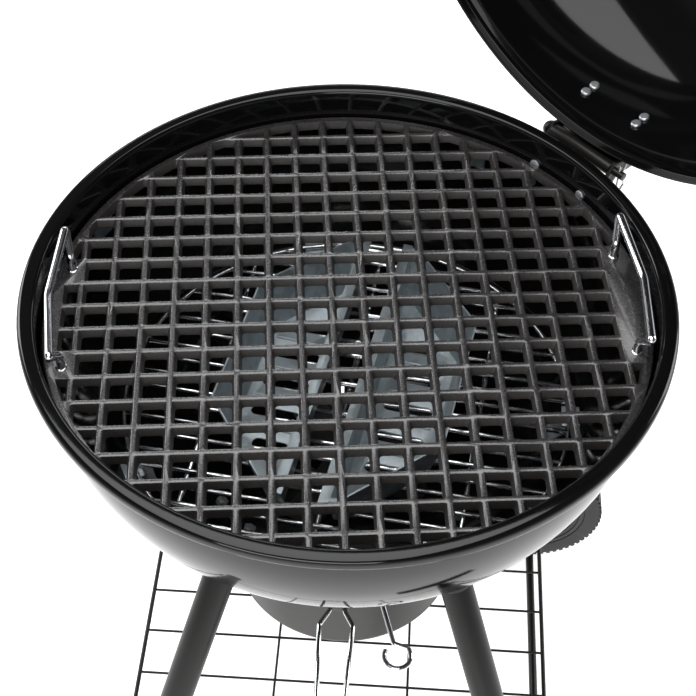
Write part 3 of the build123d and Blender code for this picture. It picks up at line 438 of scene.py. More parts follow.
def edit(piece, mode="FACE"):
    take(piece)
    bpy.ops.object.mode_set(mode="EDIT")
    bpy.ops.mesh.select_mode(type=mode)


def leave():
    bpy.ops.object.mode_set(mode="OBJECT")


def added(name):
    """The object an operator has just added, under its proper name."""
    piece = bpy.context.object
    piece.name = name
    piece.data.name = name
    return piece


def settle(piece, matrix=None):
    """Puts a piece's place into its mesh."""
    take(piece)
    if matrix is not None:
        piece.matrix_world = matrix @ piece.matrix_world
    bpy.ops.object.transform_apply(location=True, rotation=True, scale=True)
    return piece


def joined(name, pieces):
    take(*pieces)
    if len(pieces) > 1:
        bpy.ops.object.join()
    return added(name)


def choose(piece, test, kind="FACE"):
    """In edit mode: selects the faces or edges that pass a test."""
    bpy.ops.mesh.select_all(action="DESELECT")
    leave()
    mesh = piece.data
    parts = {"FACE": mesh.polygons, "EDGE": mesh.edges}[kind]
    for part in parts:
        part.select = bool(test(part))
    bpy.ops.object.mode_set(mode="EDIT")


def apply_modifier(piece, kind, **settings):
    take(piece)
    modifier = piece.modifiers.new(kind.lower(), kind)
    for key, value in settings.items():
        setattr(modifier, key, value)
    bpy.ops.object.modifier_apply(modifier=modifier.name)


def cut(piece, cutter, operation="DIFFERENCE"):
    apply_modifier(piece, "BOOLEAN", object=cutter, operation=operation, solver="EXACT")
    bpy.data.objects.remove(cutter)
    take(piece)


def smooth(piece, degrees=35.0):
    take(piece)
    bpy.ops.object.shade_smooth_by_angle(angle=math.radians(degrees))


def tidy(piece, gap=1e-6):
    edit(piece, "VERT")
    bpy.ops.mesh.select_all(action="SELECT")
    bpy.ops.mesh.remove_doubles(threshold=gap)
    bpy.ops.mesh.normals_make_consistent(inside=False)
    leave()


def finished(piece, node, *more, finish=None, degrees=35.0):
    """Gives a piece its finish, body and slot, and hides the CAD nodes that it stands for."""
    smooth(piece, degrees)
    slot = SLOT_OF[node]
    piece.data.materials.clear()
    piece.data.materials.append(FINISHES[finish or slot])
    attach(piece, frame["nodes"][node]["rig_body"])
    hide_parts(node, *more)
    return piece


def profile_spun(name, outline, steps):
    """Turned piece: an outline of (radius, height) pairs drawn edge by edge and spun about Z."""
    bpy.ops.mesh.primitive_plane_add(size=MM)
    piece = added(name)
    bpy.ops.object.mode_set(mode="EDIT")
    bpy.ops.mesh.select_mode(type="VERT")
    bpy.ops.mesh.select_all(action="SELECT")
    bpy.ops.mesh.merge(type="CENTER")
    start = Vector((outline[0][0], 0, outline[0][1]))
    bpy.ops.transform.translate(value=start)
    for (r0, z0), (r1, z1) in zip(outline, outline[1:]):
        bpy.ops.mesh.extrude_region_move(TRANSFORM_OT_translate={"value": (r1 - r0, 0, z1 - z0)})
    bpy.ops.mesh.select_all(action="SELECT")
    bpy.ops.mesh.spin(steps=steps, angle=math.tau, center=(0, 0, 0), axis=(0, 0, 1))
    leave()
    tidy(piece)
    return piece


def arc(centre, radii, start, end, count):
    """Points on an ellipse's arc in the (radius, height) plane."""
    points = []
    for k in range(count + 1):
        angle = math.radians(start + (end - start) * k / count)
        points.append((centre[0] + radii[0] * math.cos(angle),
                       centre[1] + radii[1] * math.sin(angle)))
    return points


def bent_wire(name, corners, radius, bend):
    """Round wire through corners, as a smooth curve with control points beside each corner."""
    route = [Vector(corners[0])]
    for before, corner, after in zip(corners, corners[1:], corners[2:]):
        before, corner, after = Vector(before), Vector(corner), Vector(after)
        for other in (before, after):
            reach = min(bend, (other - corner).length * 0.45)
            route.append(corner + (other - corner).normalized() * reach)
        route.insert(-1, corner)
    route.append(Vector(corners[-1]))
    bpy.ops.curve.primitive_nurbs_path_add()
    curve = bpy.context.object
    curve.data.splines.clear()
    spline = curve.data.splines.new("NURBS")
    spline.points.add(len(route) - 1)
    for point, place in zip(spline.points, route):
        point.co = (*place, 1)
    spline.order_u = 3
    spline.use_endpoint_u = True
    spline.resolution_u = 8
    curve.data.bevel_depth = radius
    curve.data.bevel_resolution = 5
    curve.data.use_fill_caps = True
    bpy.ops.object.convert(target="MESH")
    piece = added(name)
    tidy(piece)
    return piece


def rounded_rod(name, start, end, radius, sides=14, edge=0.4):
    """Straight wire with its ends rounded off."""
    start, end = Vector(start), Vector(end)
    run = end - start
    bpy.ops.mesh.primitive_cylinder_add(vertices=sides, radius=radius, depth=run.length)
    piece = added(name)
    bpy.ops.object.mode_set(mode="EDIT")
    choose(piece, lambda face: abs(face.normal.z) > 0.9)
    bpy.ops.mesh.bevel(offset=radius * edge, segments=2, affect="EDGES")
    leave()
    turn = run.to_track_quat("Z", "Y").to_matrix().to_4x4()
    return settle(piece, Matrix.Translation((start + end) / 2) @ turn)


def softened(node, name, edge=0.0004, degrees=38.0, finish=None):
    """A CAD part carried over: merged, its flats made whole and its sharp edges broken."""
    source = frame["nodes"][node]
    take(source)
    bpy.ops.object.duplicate()
    piece = added(name)
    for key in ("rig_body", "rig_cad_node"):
        if key in piece:
            del piece[key]
    piece.parent = None
    piece.matrix_world = Matrix.Identity(4)
    edit(piece, "VERT")
    bpy.ops.mesh.select_all(action="SELECT")
    bpy.ops.mesh.remove_doubles(threshold=2e-6)
    bpy.ops.mesh.dissolve_limited(angle_limit=math.radians(0.4))
    leave()
    if edge:
        apply_modifier(piece, "BEVEL", width=edge, segments=2, limit_method="ANGLE",
                       angle_limit=math.radians(degrees), use_clamp_overlap=True)
    return finished(piece, node, finish=finish, degrees=degrees)


def hinge_turn(degrees):
    """Matrix of the lid's swing about its pin."""
    pin = Vector(HINGE["pos_m"])
    turn = Matrix.Rotation(math.radians(degrees), 4, Vector(HINGE["axis"]))
    return Matrix.Translation(pin) @ turn @ Matrix.Translation(-pin)


# ------------------------------------------------------------------ bowl and lid
RIM_ROLL = 0.0045                   # radius of the rolled rim's edges
BOWL_VENTS = 3
BOWL_VENT = (0.060, 0.030, 0.080)   # opening's length and width, cutter's height
BOWL_VENT_CORNER = 0.014
BOWL_VENT_REACH = 0.062             # from the bowl's middle to a vent's middle
LID_GAP = 0.0005                    # between the rim's top and the shut lid
LIP_GAP = 0.0019                    # between the rim and the lip round it
LIP_BEND = 0.0028                   # outside radius of the bend from flange to lip
LID_LIFT = 0.0025                   # outside of the lid's flange above the rim's top
LID_VENTS = 4
LID_VENT_R = 0.009
LID_VENT_REACH = 0.028              # from the lid's top to a vent's middle
HINGE_SIDE = 44.5                   # degrees from the wheel side round to the hinge


def bowl_outline(sizes):
    """Outside of the bowl from its lowest point up, over the rolled rim and down its inside."""
    wall, radius, top = sizes.wall, sizes.wall_radius, sizes.rim_height
    equator, depth = top - sizes.straight, top - sizes.straight - BOWL_LOW[2]
    rim_low = top - sizes.rim_tall
    roll = RIM_ROLL
    outline = arc((0, equator), (radius, depth), -90, 0, 44)
    outline += [(radius, rim_low - 0.0004), (radius + 0.0012, rim_low)]
    outline += arc((sizes.rim_radius - roll, rim_low + roll), (roll, roll), -90, 0, 6)
    outline += arc((sizes.rim_radius - roll, top - roll), (roll, roll), 0, 90, 8)
    outline += arc((radius - wall + roll, top - roll), (roll, roll), 90, 180, 8)
    outline += arc((0, equator), (radius - wall, depth - wall), 0, -90, 44)
    return outline


class KETTLE_OT_bowl(bpy.types.Operator):
    """Turn the bowl with its rolled rim and cut its three vents"""
    bl_idname = "kettle.bowl"
    bl_label = "Bowl"

    def execute(self, context):
        sizes = context.scene.kettle_shell
        bowl = profile_spun("enamel_bowl", bowl_outline(sizes), sizes.steps)
        cutters = []
        for k in range(BOWL_VENTS):
            bpy.ops.mesh.primitive_cube_add(size=1)
            cutter = bpy.context.object
            cutter.scale = BOWL_VENT
            settle(cutter)
            edit(cutter, "EDGE")
            choose(cutter, lambda e: upright(cutter, e), "EDGE")
            bpy.ops.mesh.bevel(offset=BOWL_VENT_CORNER, segments=5)
            leave()
            turn = Matrix.Rotation(math.radians(90 + 360 * k / BOWL_VENTS), 4, "Z")
            place = Matrix.Translation((BOWL_VENT_REACH, 0, BOWL_LOW[2]))
            cutters.append(settle(cutter, turn @ place))
        cut(bowl, joined("vent_cutter", cutters))
        finished(bowl, "bowl", degrees=40)
        return {"FINISHED"}


def upright(piece, edge):
    """True for an edge that runs along Z."""
    first, second = (piece.data.vertices[i].co for i in edge.vertices)
    run = second - first
    return abs(run.z) > 0.9 * run.length


def lid_outline(sizes):
    """Shut lid's outside from the top down, its flange and hanging lip, and its inside back up."""
    wall, radius = sizes.wall, sizes.wall_radius
    seat = sizes.rim_height + LID_GAP
    lip_out = sizes.rim_radius + LIP_GAP + wall
    dome = seat + wall + sizes.lid_straight
    low = seat + wall - sizes.lip_tall
    crown = radius ** 2 + sizes.lid_dome ** 2 - 2 * radius * sizes.lid_shoulder
    crown /= 2 * (sizes.lid_dome - sizes.lid_shoulder)
    across = radius - sizes.lid_shoulder
    change = math.degrees(math.atan2(crown - sizes.lid_dome, across))
    top = dome + sizes.lid_dome - crown
    outline = arc((0, top), (crown, crown), 90, change, 24)
    outline += arc((across, dome), (sizes.lid_shoulder, sizes.lid_shoulder), change, 0, 24)[1:]
    outline += [(radius, seat + wall + 0.0025), (radius + 0.0007, seat + wall + 0.0007)]
    outline += [(radius + 0.0025, seat + wall)]
    outline += arc((lip_out - LIP_BEND, seat + wall - LIP_BEND), (LIP_BEND, LIP_BEND), 90, 0, 6)
    outline += arc((lip_out - wall / 2, low + wall / 2), (wall / 2, wall / 2), 0, -180, 8)
    outline += arc((lip_out - wall - 0.001, seat - 0.001), (0.001, 0.001), 0, 90, 3)
    outline += [(radius + 0.0005, seat), (radius - wall + 0.0012, seat + 0.0004)]
    outline += [(radius - wall, seat + 0.0016)]
    inner = sizes.lid_shoulder - wall
    outline += arc((across, dome), (inner, inner), 0, change, 24)
    outline += arc((0, top), (crown - wall, crown - wall), change, 90, 24)[1:]
    return outline


class KETTLE_OT_lid(bpy.types.Operator):
    """Turn the lid with its hanging lip, cut its four vents and swing it open"""
    bl_idname = "kettle.lid"
    bl_label = "Lid"

    def execute(self, context):
        sizes = context.scene.kettle_shell
        lid = profile_spun("enamel_lid", lid_outline(sizes), sizes.steps)
        top = sizes.rim_height + LID_LIFT + sizes.lid_straight + sizes.lid_dome
        cutters = []
        for k in range(LID_VENTS):
            angle = math.radians(45 + 360 * k / LID_VENTS)
            place = (LID_VENT_REACH * math.cos(angle), LID_VENT_REACH * math.sin(angle), top)
            bpy.ops.mesh.primitive_cylinder_add(
                vertices=32, radius=LID_VENT_R, depth=0.05, location=place)
            cutters.append(bpy.context.object)
        turn = Matrix.Rotation(math.radians(HINGE_SIDE), 4, "Z")
        cut(lid, settle(joined("vent_cutter", cutters), turn))
        settle(lid, hinge_turn(-HINGE["range_deg"][0]))
        finished(lid, "lid", degrees=40)
        return {"FINISHED"}


# ------------------------------------------------------------------ cooking grate
CELL_CORNER_LOW = 0.0030            # radius of a cell's corners at the foot
CELL_CORNER_MIDDLE = 0.0028
CELL_CORNER_TOP = 0.0017
CELL_FLARE_TALL = 0.0013            # height of the rounded edge round a cell's top
CELL_FLARE = ((0.0, 0.0), (0.4, 0.0003), (0.75, 0.0007), (1.0, 0.0014))  # share of it, widening
CELL_OVERRUN = 0.001                # the plug's reach past the casting's top and foot
LEAST_CELL = 0.14                   # a cell with less of itself inside the ring is left out
BAIL_FOOT_LOW = 0.004               # a leg's end below the casting
BAIL_KNEE = 0.014                   # height over the grate where a leg starts to spread
BAIL_LEAN = 0.004
BAIL_BOW = 0.013                    # the grip's bow outwards and its sag in the middle
BAIL_SAG = 0.005
BAIL_BEND = 0.009
COLLAR_OVER = (0.0050, 0.0012)      # radius and height of the collar on a leg, over the casting
COLLAR_UNDER = (0.0056, 0.002)
COLLAR_NECK = 0.0042                # a collar's radius at its narrow end


def cell_cutter(sizes, width_share=1.0):
    """Plug the shape of one cell's opening: round corners below, crisp ones and a flare on top."""
    deep = GRATE_HIGH[2] - GRATE_LOW[2]
    side = sizes.pitch - sizes.bar_foot
    width = side * width_share - (0.0 if width_share == 1.0 else 0.001)
    grow = sizes.bar_foot - sizes.bar_top
    flare_base, flare_top = deep - CELL_FLARE_TALL, CELL_FLARE[-1][1]
    rings = [(-CELL_OVERRUN, 0.0, CELL_CORNER_LOW), (deep * 0.25, grow * 0.12, CELL_CORNER_MIDDLE)]
    for share, flare in CELL_FLARE:
        rings.append((flare_base + CELL_FLARE_TALL * share, grow - flare_top + flare,
                      CELL_CORNER_TOP))
    rings.append((deep + CELL_OVERRUN, grow + 0.0008, CELL_CORNER_TOP))
    points, faces = [], []
    for height, wider, corner in rings:
        half_x, half_y = (width + wider) / 2 - corner, (side + wider) / 2 - corner
        for k in range(16):
            sign_x = 1 if k < 4 or k > 11 else -1
            sign_y = 1 if k < 8 else -1
            angle = math.radians(90 * (k // 4) + 30 * (k % 4))
            points.append((sign_x * half_x + corner * math.cos(angle),
                           sign_y * half_y + corner * math.sin(angle), height - deep / 2))
    for level in range(len(rings) - 1):
        for k in range(16):
            low, high = 16 * level, 16 * level + 16
            faces.append((low + k, low + (k + 1) % 16, high + (k + 1) % 16, high + k))
    faces.append(tuple(range(15, -1, -1)))
    faces.append(tuple(range(16 * len(rings) - 16, 16 * len(rings))))
    mesh = bpy.data.meshes.new("cell_plug")
    mesh.from_pydata(points, [], faces)
    plug = bpy.data.objects.new("cell_plug", mesh)
    bpy.context.collection.objects.link(plug)
    return plug


def share_inside(x, y, width, side, radius):
    """Share of a cell that lies inside the ring."""
    hits = 0
    for i in range(8):
        for j in range(8):
            spot_x = x + width * ((i + 0.5) / 8 - 0.5)
            spot_y = y + side * ((j + 0.5) / 8 - 0.5)
            hits += math.hypot(spot_x, spot_y) < radius
    return hits / 64


class KETTLE_OT_cooking_grate(bpy.types.Operator):
    """Cast the cooking grate: a disc with tapered square cells, solid pads under its handles"""
    bl_idname = "kettle.cooking_grate"
    bl_label = "Cooking grate"

    def execute(self, context):
        sizes = context.scene.kettle_grate
        full, narrow = cell_cutter(sizes), cell_cutter(sizes, 0.5)
        inside = sizes.radius - sizes.ring
        count = int(sizes.radius / sizes.pitch)
        leg_row = round(sizes.handle_feet / 2 / sizes.pitch)
        side = sizes.pitch - (sizes.bar_top + sizes.bar_foot) / 2
        middle = (GRATE_HIGH[2] + GRATE_LOW[2]) / 2
        plugs = []
        for column in range(-count, count + 1):
            for row in range(-count, count + 1):
                short = column == -count and abs(row) < leg_row
                if abs(column) == count and abs(row) == leg_row:
                    continue
                if column == count and abs(row) < leg_row:
                    continue
                x, y = column * sizes.pitch, row * sizes.pitch
                if short:
                    x += side / 4
                if share_inside(x, y, side, side, inside) < LEAST_CELL:
                    continue
                plug = (narrow if short else full).copy()
                plug.data = plug.data.copy()
                plug.location = (x, y, middle)
                context.collection.objects.link(plug)
                plugs.append(plug)
        for spare in (full, narrow):
            bpy.data.objects.remove(spare)
        cells = joined("cell_plugs", plugs)
        settle(cells)
        bpy.ops.mesh.primitive_cone_add(
            vertices=160, radius1=inside - 0.006, radius2=inside + 0.006, depth=0.04,
            location=(0, 0, middle))
        cut(cells, bpy.context.object, "INTERSECT")
        deep = GRATE_HIGH[2] - GRATE_LOW[2]
        bpy.ops.mesh.primitive_cylinder_add(
            vertices=160, radius=sizes.radius, depth=deep, location=(0, 0, middle))
        grate = added("cast_grate")
        settle(grate)
        edit(grate, "FACE")
        choose(grate, lambda face: abs(face.normal.z) > 0.9)
        bpy.ops.mesh.bevel(offset=0.0016, segments=3, affect="EDGES")
        leave()
        cut(grate, cells)
        settle(grate, Matrix.Rotation(sizes.turn, 4, "Z"))
        finished(grate, "cooking_grate", degrees=50)
        return {"FINISHED"}


class KETTLE_OT_grate_handles(bpy.types.Operator):
    """Bend the two bail handles of the cooking grate"""
    bl_idname = "kettle.grate_handles"
    bl_label = "Grate handles"

    def execute(self, context):
        sizes = context.scene.kettle_grate
        top, deep = GRATE_HIGH[2], GRATE_HIGH[2] - GRATE_LOW[2]
        half, grip, tall = sizes.handle_feet / 2, sizes.handle_grip / 2, sizes.handle_tall
        foot = -deep - BAIL_FOOT_LOW
        for side, word in ((-1, "left"), (1, "right")):
            x = side * sizes.handle_x
            lean = x + side * BAIL_LEAN
            corners = [
                (x, -half, foot), (x, -half, BAIL_KNEE), (lean, -grip, tall),
                (x + side * BAIL_BOW, 0, tall - BAIL_SAG), (lean, grip, tall),
                (x, half, BAIL_KNEE), (x, half, foot)]
            pieces = [bent_wire("bail", corners, sizes.handle_wire, BAIL_BEND)]
            for y in (-half, half):
                for low, (wide, thick) in ((0.0, COLLAR_OVER), (-deep - 0.002, COLLAR_UNDER)):
                    outline = [(0.0, low), (wide, low), (wide, low + thick * 0.5),
                               (COLLAR_NECK, low + thick), (0.0, low + thick)]
                    collar = profile_spun("collar", outline, 24)
                    pieces.append(settle(collar, Matrix.Translation((x, y, 0))))
            bail = joined(f"bail_{word}", pieces)
            turn = Matrix.Rotation(sizes.turn, 4, "Z")
            settle(bail, Matrix.Translation((0, 0, top)) @ turn)
            finished(bail, f"grate_handle_{word}", degrees=45)
        return {"FINISHED"}


# ------------------------------------------------------------------ charcoal grate and baskets
class KETTLE_OT_charcoal_grate(bpy.types.Operator):
    """Weld the charcoal grate from straight wires inside a round frame"""
    bl_idname = "kettle.charcoal_grate"
    bl_label = "Charcoal grate"

    def execute(self, context):
        sizes = context.scene.kettle_fire
        frame_r = FIRE_HIGH[0] - sizes.wire
        top = FIRE_HIGH[2] - sizes.wire
        wires = []
        count = int((frame_r - sizes.wire) / sizes.pitch)
        for k in range(-count, count + 1):
            y = k * sizes.pitch
            half = math.sqrt(frame_r ** 2 - y ** 2)
            wires.append(rounded_rod("wire", (-half, y, top), (half, y, top), sizes.wire))
        low = top - sizes.wire * 1.6
        for k in (-1, 0, 1):
            x = k * frame_r * 0.6
            half = math.sqrt(frame_r ** 2 - x ** 2)
            wires.append(rounded_rod("wire", (x, -half, low), (x, half, low), sizes.wire))
        bpy.ops.mesh.primitive_torus_add(
            major_radius=frame_r, minor_radius=sizes.wire, major_segments=144, minor_segments=12,
            location=(0, 0, top))
        wires.append(settle(bpy.context.object))
        grate = joined("fire_grate", wires)
        settle(grate, Matrix.Rotation(sizes.turn, 4, "Z"))
        finished(grate, "charcoal_grate", degrees=45)
        return {"FINISHED"}


class KETTLE_OT_baskets(bpy.types.Operator):
    """Press the two charcoal baskets"""
    bl_idname = "kettle.baskets"
    bl_label = "Charcoal baskets"

    def execute(self, context):
        for word in ("left", "right"):
            softened(f"charcoal_basket_{word}", f"basket_{word}", edge=0.0003, degrees=30)
        return {"FINISHED"}


# ------------------------------------------------------------------ vent lever and ash pail
LEVER_ROOT = 0.007                  # the wire's start, inside its collar
LOOP_RISE = 0.009                   # run over which the wire rises to its loop's radius
LOOP_START = 0.014
LOOP_ARC = 225                      # degrees of the open loop
LOOP_POINTS = 9
LEVER_BEND = 0.004
LEVER_COLLAR = ((0.0050, -0.005), (0.0085, -0.005), (0.009, -0.0045), (0.009, 0.0045),
                (0.0085, 0.005), (0.0050, 0.005), (0.0050, -0.005))
PAIL_BEAD = 0.0025
PAIL_WALL = 0.0015
PAIL_CORNER = 0.012
PAIL_WIRE = 0.0025                  # radius of the pail handle's wire
PAIL_WIRE_BEND = 0.006
PAIL_ROOT = 0.0075                  # from the handle's middle to its wire at the plate
PAIL_GRIP = 0.0125                  # half of the handle's straight end
PAIL_NECK, PAIL_SHOULDER = 0.008, 0.024  # from the plate to where the wire spreads, and is wide


class KETTLE_OT_vent_lever(bpy.types.Operator):
    """Bend the vent lever with its open finger loop and put the blades on their shaft"""
    bl_idname = "kettle.vent_lever"
    bl_label = "Vent lever"

    def execute(self, context):
        sizes = context.scene.kettle_lever
        low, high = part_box("sweeper_lever")
        middle = (low[2] + high[2]) / 2
        reach, loop = sizes.lever_reach, sizes.loop_radius
        centre = reach + LOOP_START
        corners = [(LEVER_ROOT, 0, 0), (reach, 0, 0), (reach + LOOP_RISE, loop, 0),
                   (centre, loop, 0)]
        for k in range(1, LOOP_POINTS + 1):
            angle = math.radians(90 - LOOP_ARC * k / LOOP_POINTS)
            corners.append((centre + loop * math.cos(angle), loop * math.sin(angle), 0))
        arm = bent_wire("arm", corners, sizes.lever_wire, LEVER_BEND)
        collar = profile_spun("collar", LEVER_COLLAR, 36)
        lever = joined("lever_wire", [arm, collar])
        turn = Matrix.Rotation(sizes.lever_angle, 4, "Z")
        settle(lever, Matrix.Translation((0, 0, middle)) @ turn)
        finished(lever, "sweeper_lever", degrees=45)
        softened("vent_sweeper", "vent_blades")
        softened("sweeper_nut", "lever_nut", finish="hardware")
        return {"FINISHED"}


class KETTLE_OT_ash_pail(bpy.types.Operator):
    """Turn the ash pail with its rolled bead, bend its sprung handle and hang it in its hoop"""
    bl_idname = "kettle.ash_pail"
    bl_label = "Ash pail"

    def execute(self, context):
        bead, wall, corner = PAIL_BEAD, PAIL_WALL, PAIL_CORNER
        radius = PAIL_HIGH[0] - bead
        low, top = PAIL_LOW[2], PAIL_HIGH[2] - bead
        outline = [(0, low)] + arc((radius - corner, low + corner), (corner, corner), -90, 0, 8)
        outline += [(radius, top - 0.003)]
        outline += arc((radius, top), (bead, bead), -90, 180, 14)
        outline += [(radius - wall, top - 0.003)]
        inner = corner - wall
        outline += arc((radius - corner, low + corner), (inner, inner), 0, -90, 8)
        outline += [(0, low + wall)]
        pail = profile_spun("ash_pail", outline, 120)
        finished(pail, "ash_bucket", degrees=40)
        wire_low, wire_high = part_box("ash_handle")
        start, end = wire_high[1], wire_low[1] + PAIL_WIRE
        wide = wire_high[0] - PAIL_WIRE
        z = (wire_low[2] + wire_high[2]) / 2
        neck, shoulder = start - PAIL_NECK, start - PAIL_SHOULDER
        half_route = [(PAIL_ROOT, start), (PAIL_ROOT, neck), (wide, shoulder), (PAIL_GRIP, end)]
        corners = [(-x, y, z) for x, y in half_route] + [(x, y, z) for x, y in half_route[::-1]]
        handle = bent_wire("pail_handle", corners, PAIL_WIRE, PAIL_WIRE_BEND)
        finished(handle, "ash_handle", degrees=45)
        softened("ash_handle_plate", "pail_plate")
        softened("ash_hanger", "pail_hoop", finish="black_steel")
        return {"FINISHED"}


# ------------------------------------------------------------------ stand
class KETTLE_OT_legs(bpy.types.Operator):
    """Carry over the legs, their sockets and the foot caps with broken edges"""
    bl_idname = "kettle.legs"
    bl_label = "Legs"

    def execute(self, context):
        for end in ("front", "rear"):
            for side in ("left", "right"):
                softened(f"leg_{end}_{side}", f"leg_tube_{end}_{side}", edge=0.0003)
                softened(f"leg_socket_{end}_{side}", f"socket_{end}_{side}", edge=0.0006)
            softened(f"foot_{end}", f"foot_cap_{end}", edge=0.0008)
        return {"FINISHED"}


class KETTLE_OT_wheels(bpy.types.Operator):
    """Mould the wheels and fit them on their axle"""
    bl_idname = "kettle.wheels"
    bl_label = "Wheels"

    def execute(self, context):
        for end in ("front", "rear"):
            softened(f"wheel_{end}", f"wheel_body_{end}", edge=0.0004)
            softened(f"axle_cap_{end}", f"hub_cap_{end}", edge=0.0006, finish="hardware")
        softened("axle", "axle_rod", edge=0.0004, finish="black_steel")
        return {"FINISHED"}


class KETTLE_OT_shelf(bpy.types.Operator):
    """Weld the wire shelf"""
    bl_idname = "kettle.shelf"
    bl_label = "Shelf"

    def execute(self, context):
        softened("shelf", "shelf_wires", edge=0.0)
        return {"FINISHED"}


class KETTLE_OT_hinge(bpy.types.Operator):
    """Fit the lid's hinge, damper and grip"""
    bl_idname = "kettle.hinge"
    bl_label = "Hinge and lid fittings"

    def execute(self, context):
        softened("hinge_lid_bracket", "hinge_leaf_lid", edge=0.0006)
        softened("hinge_bowl_bracket", "hinge_leaf_bowl", edge=0.0006, finish="black_steel")
        softened("hinge_pin", "hinge_pin_rod", edge=0.0004)
        softened("hinge_clip", "hinge_spring_clip", edge=0.0, finish="hardware")
        softened("lid_damper", "damper_disc", edge=0.0003)
        softened("lid_rivet", "damper_rivet", finish="hardware")
        softened("lid_grip", "grip_bar", edge=0.002)
        for word in ("left", "right"):
            softened(f"grip_bracket_{word}", f"grip_arm_{word}")
        return {"FINISHED"}


class KETTLE_OT_hardware(bpy.types.Operator):
    """Fit the tabs, nuts, bolts and screws"""
    bl_idname = "kettle.hardware"
    bl_label = "Nuts, bolts and tabs"

    def execute(self, context):
        for node in ("tab_nuts", "hinge_bolts", "hinge_nuts", "tab_screws", "socket_nuts",
                     "socket_bolts", "hinge_lid_screws", "grip_screws", "shelf_screws"):
            softened(node, f"{node}_set", edge=0.0003, finish="hardware")
        softened("grate_tabs", "grate_ledges")
        softened("coal_tabs", "coal_ledges")
        return {"FINISHED"}


# ------------------------------------------------------------------ stage
CAMERA_PLACE = (0.0435, -0.8610, 1.6647)
CAMERA_AXES = ((0.99806, 0.06148, 0.01031), (-0.05265, 0.74262, 0.66766),
               (0.0334, -0.6669, 0.7444))
CAMERA_LENS = 73.2
FLOOR_GLOW = 0.80
LAMPS = (                           # name, place, aim, width, height, power
    ("soft_left", (-2.3, 1.5, 1.9), (0, 0, 0.75), 0.9, 1.5, 24),
    ("soft_right", (2.5, 1.2, 1.7), (0, 0, 0.75), 0.9, 1.5, 22),
    ("soft_top", (-0.3, 0.0, 3.0), (0, 0, 0.7), 2.8, 1.9, 58),
    ("soft_back", (-0.4, 3.0, 2.3), (0, 0, 0.7), 2.2, 0.3, 14),
    ("soft_front", (-0.5, -2.9, 2.0), (0, 0, 0.6), 2.4, 1.1, 44))
ROOM_GREYS = ((0.06, 0.62), (0.42, 0.07))  # height above the horizon, grey: darker overhead


class KETTLE_OT_stage(bpy.types.Operator):
    """Lay the pale floor and set the lights and the camera"""
    bl_idname = "kettle.stage"
    bl_label = "Stage"

    def execute(self, context):
        clear_selection()
        bpy.ops.mesh.primitive_plane_add(size=14, location=(0, 0, 0))
        floor = added("floor")
        white = bpy.data.materials.new("pale floor")
        white.use_nodes = True
        shader = white.node_tree.nodes["Principled BSDF"]
        shader.inputs["Base Color"].default_value = (0.9, 0.9, 0.9, 1)
        shader.inputs["Roughness"].default_value = 0.9
        shader.inputs["Emission Color"].default_value = (1, 1, 1, 1)
        shader.inputs["Emission Strength"].default_value = FLOOR_GLOW
        floor.data.materials.append(white)
        for name, place, aim, width, height, power in LAMPS:
            data = bpy.data.lights.new(name, "AREA")
            data.shape = "RECTANGLE"
            data.size, data.size_y, data.energy = width, height, power
            lamp = bpy.data.objects.new(name, data)
            lamp.location = place
            aim_line = Vector(aim) - Vector(place)
            lamp.rotation_euler = aim_line.to_track_quat("-Z", "Y").to_euler()
            context.scene.collection.objects.link(lamp)
        world = bpy.data.worlds.new("room")
        world.use_nodes = True
        tree = world.node_tree
        place = tree.nodes.new("ShaderNodeTexCoord")
        parts = tree.nodes.new("ShaderNodeSeparateXYZ")
        sky = tree.nodes.new("ShaderNodeValToRGB")
        for element, (height, grey) in zip(sky.color_ramp.elements, ROOM_GREYS):
            element.position = height
            element.color = (grey, grey, grey * 1.03, 1)
        tree.links.new(place.outputs["Generated"], parts.inputs[0])
        tree.links.new(parts.outputs["Z"], sky.inputs[0])
        tree.links.new(sky.outputs[0], tree.nodes["Background"].inputs["Color"])
        tree.nodes["Background"].inputs["Strength"].default_value = 1.0
        context.scene.world = world
        camera_data = bpy.data.cameras.new("camera")
        camera_data.sensor_width = 36
        camera_data.lens = CAMERA_LENS
        camera_data.clip_start = 0.05
        camera = bpy.data.objects.new("camera", camera_data)
        columns = Matrix(CAMERA_AXES).transposed().to_4x4()
        camera.matrix_world = Matrix.Translation(CAMERA_PLACE) @ columns
        context.scene.collection.objects.link(camera)
        context.scene.camera = camera
        context.scene.view_settings.view_transform = "Standard"
        return {"FINISHED"}


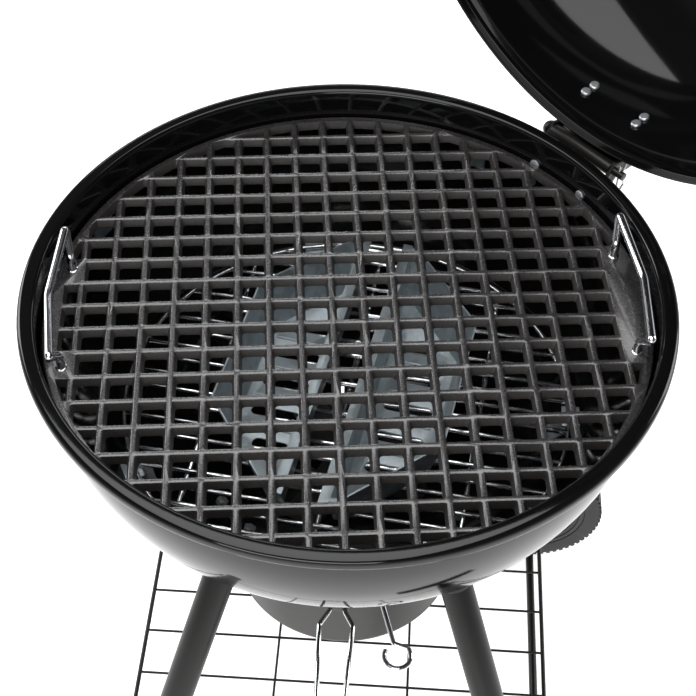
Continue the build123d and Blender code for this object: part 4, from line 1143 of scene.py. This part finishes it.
# ------------------------------------------------------------------ panel and registration
OPERATORS = (
    KETTLE_OT_bowl, KETTLE_OT_lid, KETTLE_OT_cooking_grate, KETTLE_OT_grate_handles,
    KETTLE_OT_charcoal_grate, KETTLE_OT_baskets, KETTLE_OT_vent_lever, KETTLE_OT_ash_pail,
    KETTLE_OT_legs, KETTLE_OT_wheels, KETTLE_OT_shelf, KETTLE_OT_hinge, KETTLE_OT_hardware,
    KETTLE_OT_stage)
GROUPS = {
    "kettle_shell": KettleShellSizes, "kettle_grate": KettleGrateSizes,
    "kettle_fire": KettleFireSizes, "kettle_lever": KettleLeverSizes,
    "kettle_colours": KettleColours}


class KETTLE_PT_panel(bpy.types.Panel):
    """Sizes, colours and steps of the grill"""
    bl_idname = "KETTLE_PT_panel"
    bl_label = "Kettle grill"
    bl_space_type = "VIEW_3D"
    bl_region_type = "UI"
    bl_category = "Kettle grill"

    def draw(self, context):
        for name, group in GROUPS.items():
            box = self.layout.box()
            for key in group.__annotations__:
                box.prop(getattr(context.scene, name), key)
        for operator in OPERATORS:
            self.layout.operator(operator.bl_idname)


def register():
    for group in GROUPS.values():
        bpy.utils.register_class(group)
    for name, group in GROUPS.items():
        setattr(bpy.types.Scene, name, bpy.props.PointerProperty(type=group))
    for operator in OPERATORS:
        bpy.utils.register_class(operator)
    bpy.utils.register_class(KETTLE_PT_panel)


def unregister():
    bpy.utils.unregister_class(KETTLE_PT_panel)
    for operator in reversed(OPERATORS):
        bpy.utils.unregister_class(operator)
    for name, group in GROUPS.items():
        delattr(bpy.types.Scene, name)
        bpy.utils.unregister_class(group)


def main():
    register()
    make_finishes(bpy.context.scene.kettle_colours)
    for step in (
            bpy.ops.kettle.bowl, bpy.ops.kettle.lid, bpy.ops.kettle.cooking_grate,
            bpy.ops.kettle.grate_handles, bpy.ops.kettle.charcoal_grate, bpy.ops.kettle.baskets,
            bpy.ops.kettle.vent_lever, bpy.ops.kettle.ash_pail, bpy.ops.kettle.legs,
            bpy.ops.kettle.wheels, bpy.ops.kettle.shelf, bpy.ops.kettle.hinge,
            bpy.ops.kettle.hardware, bpy.ops.kettle.stage):
        clear_selection()
        step()
    clear_selection()


if __name__ == "__main__":
    main()
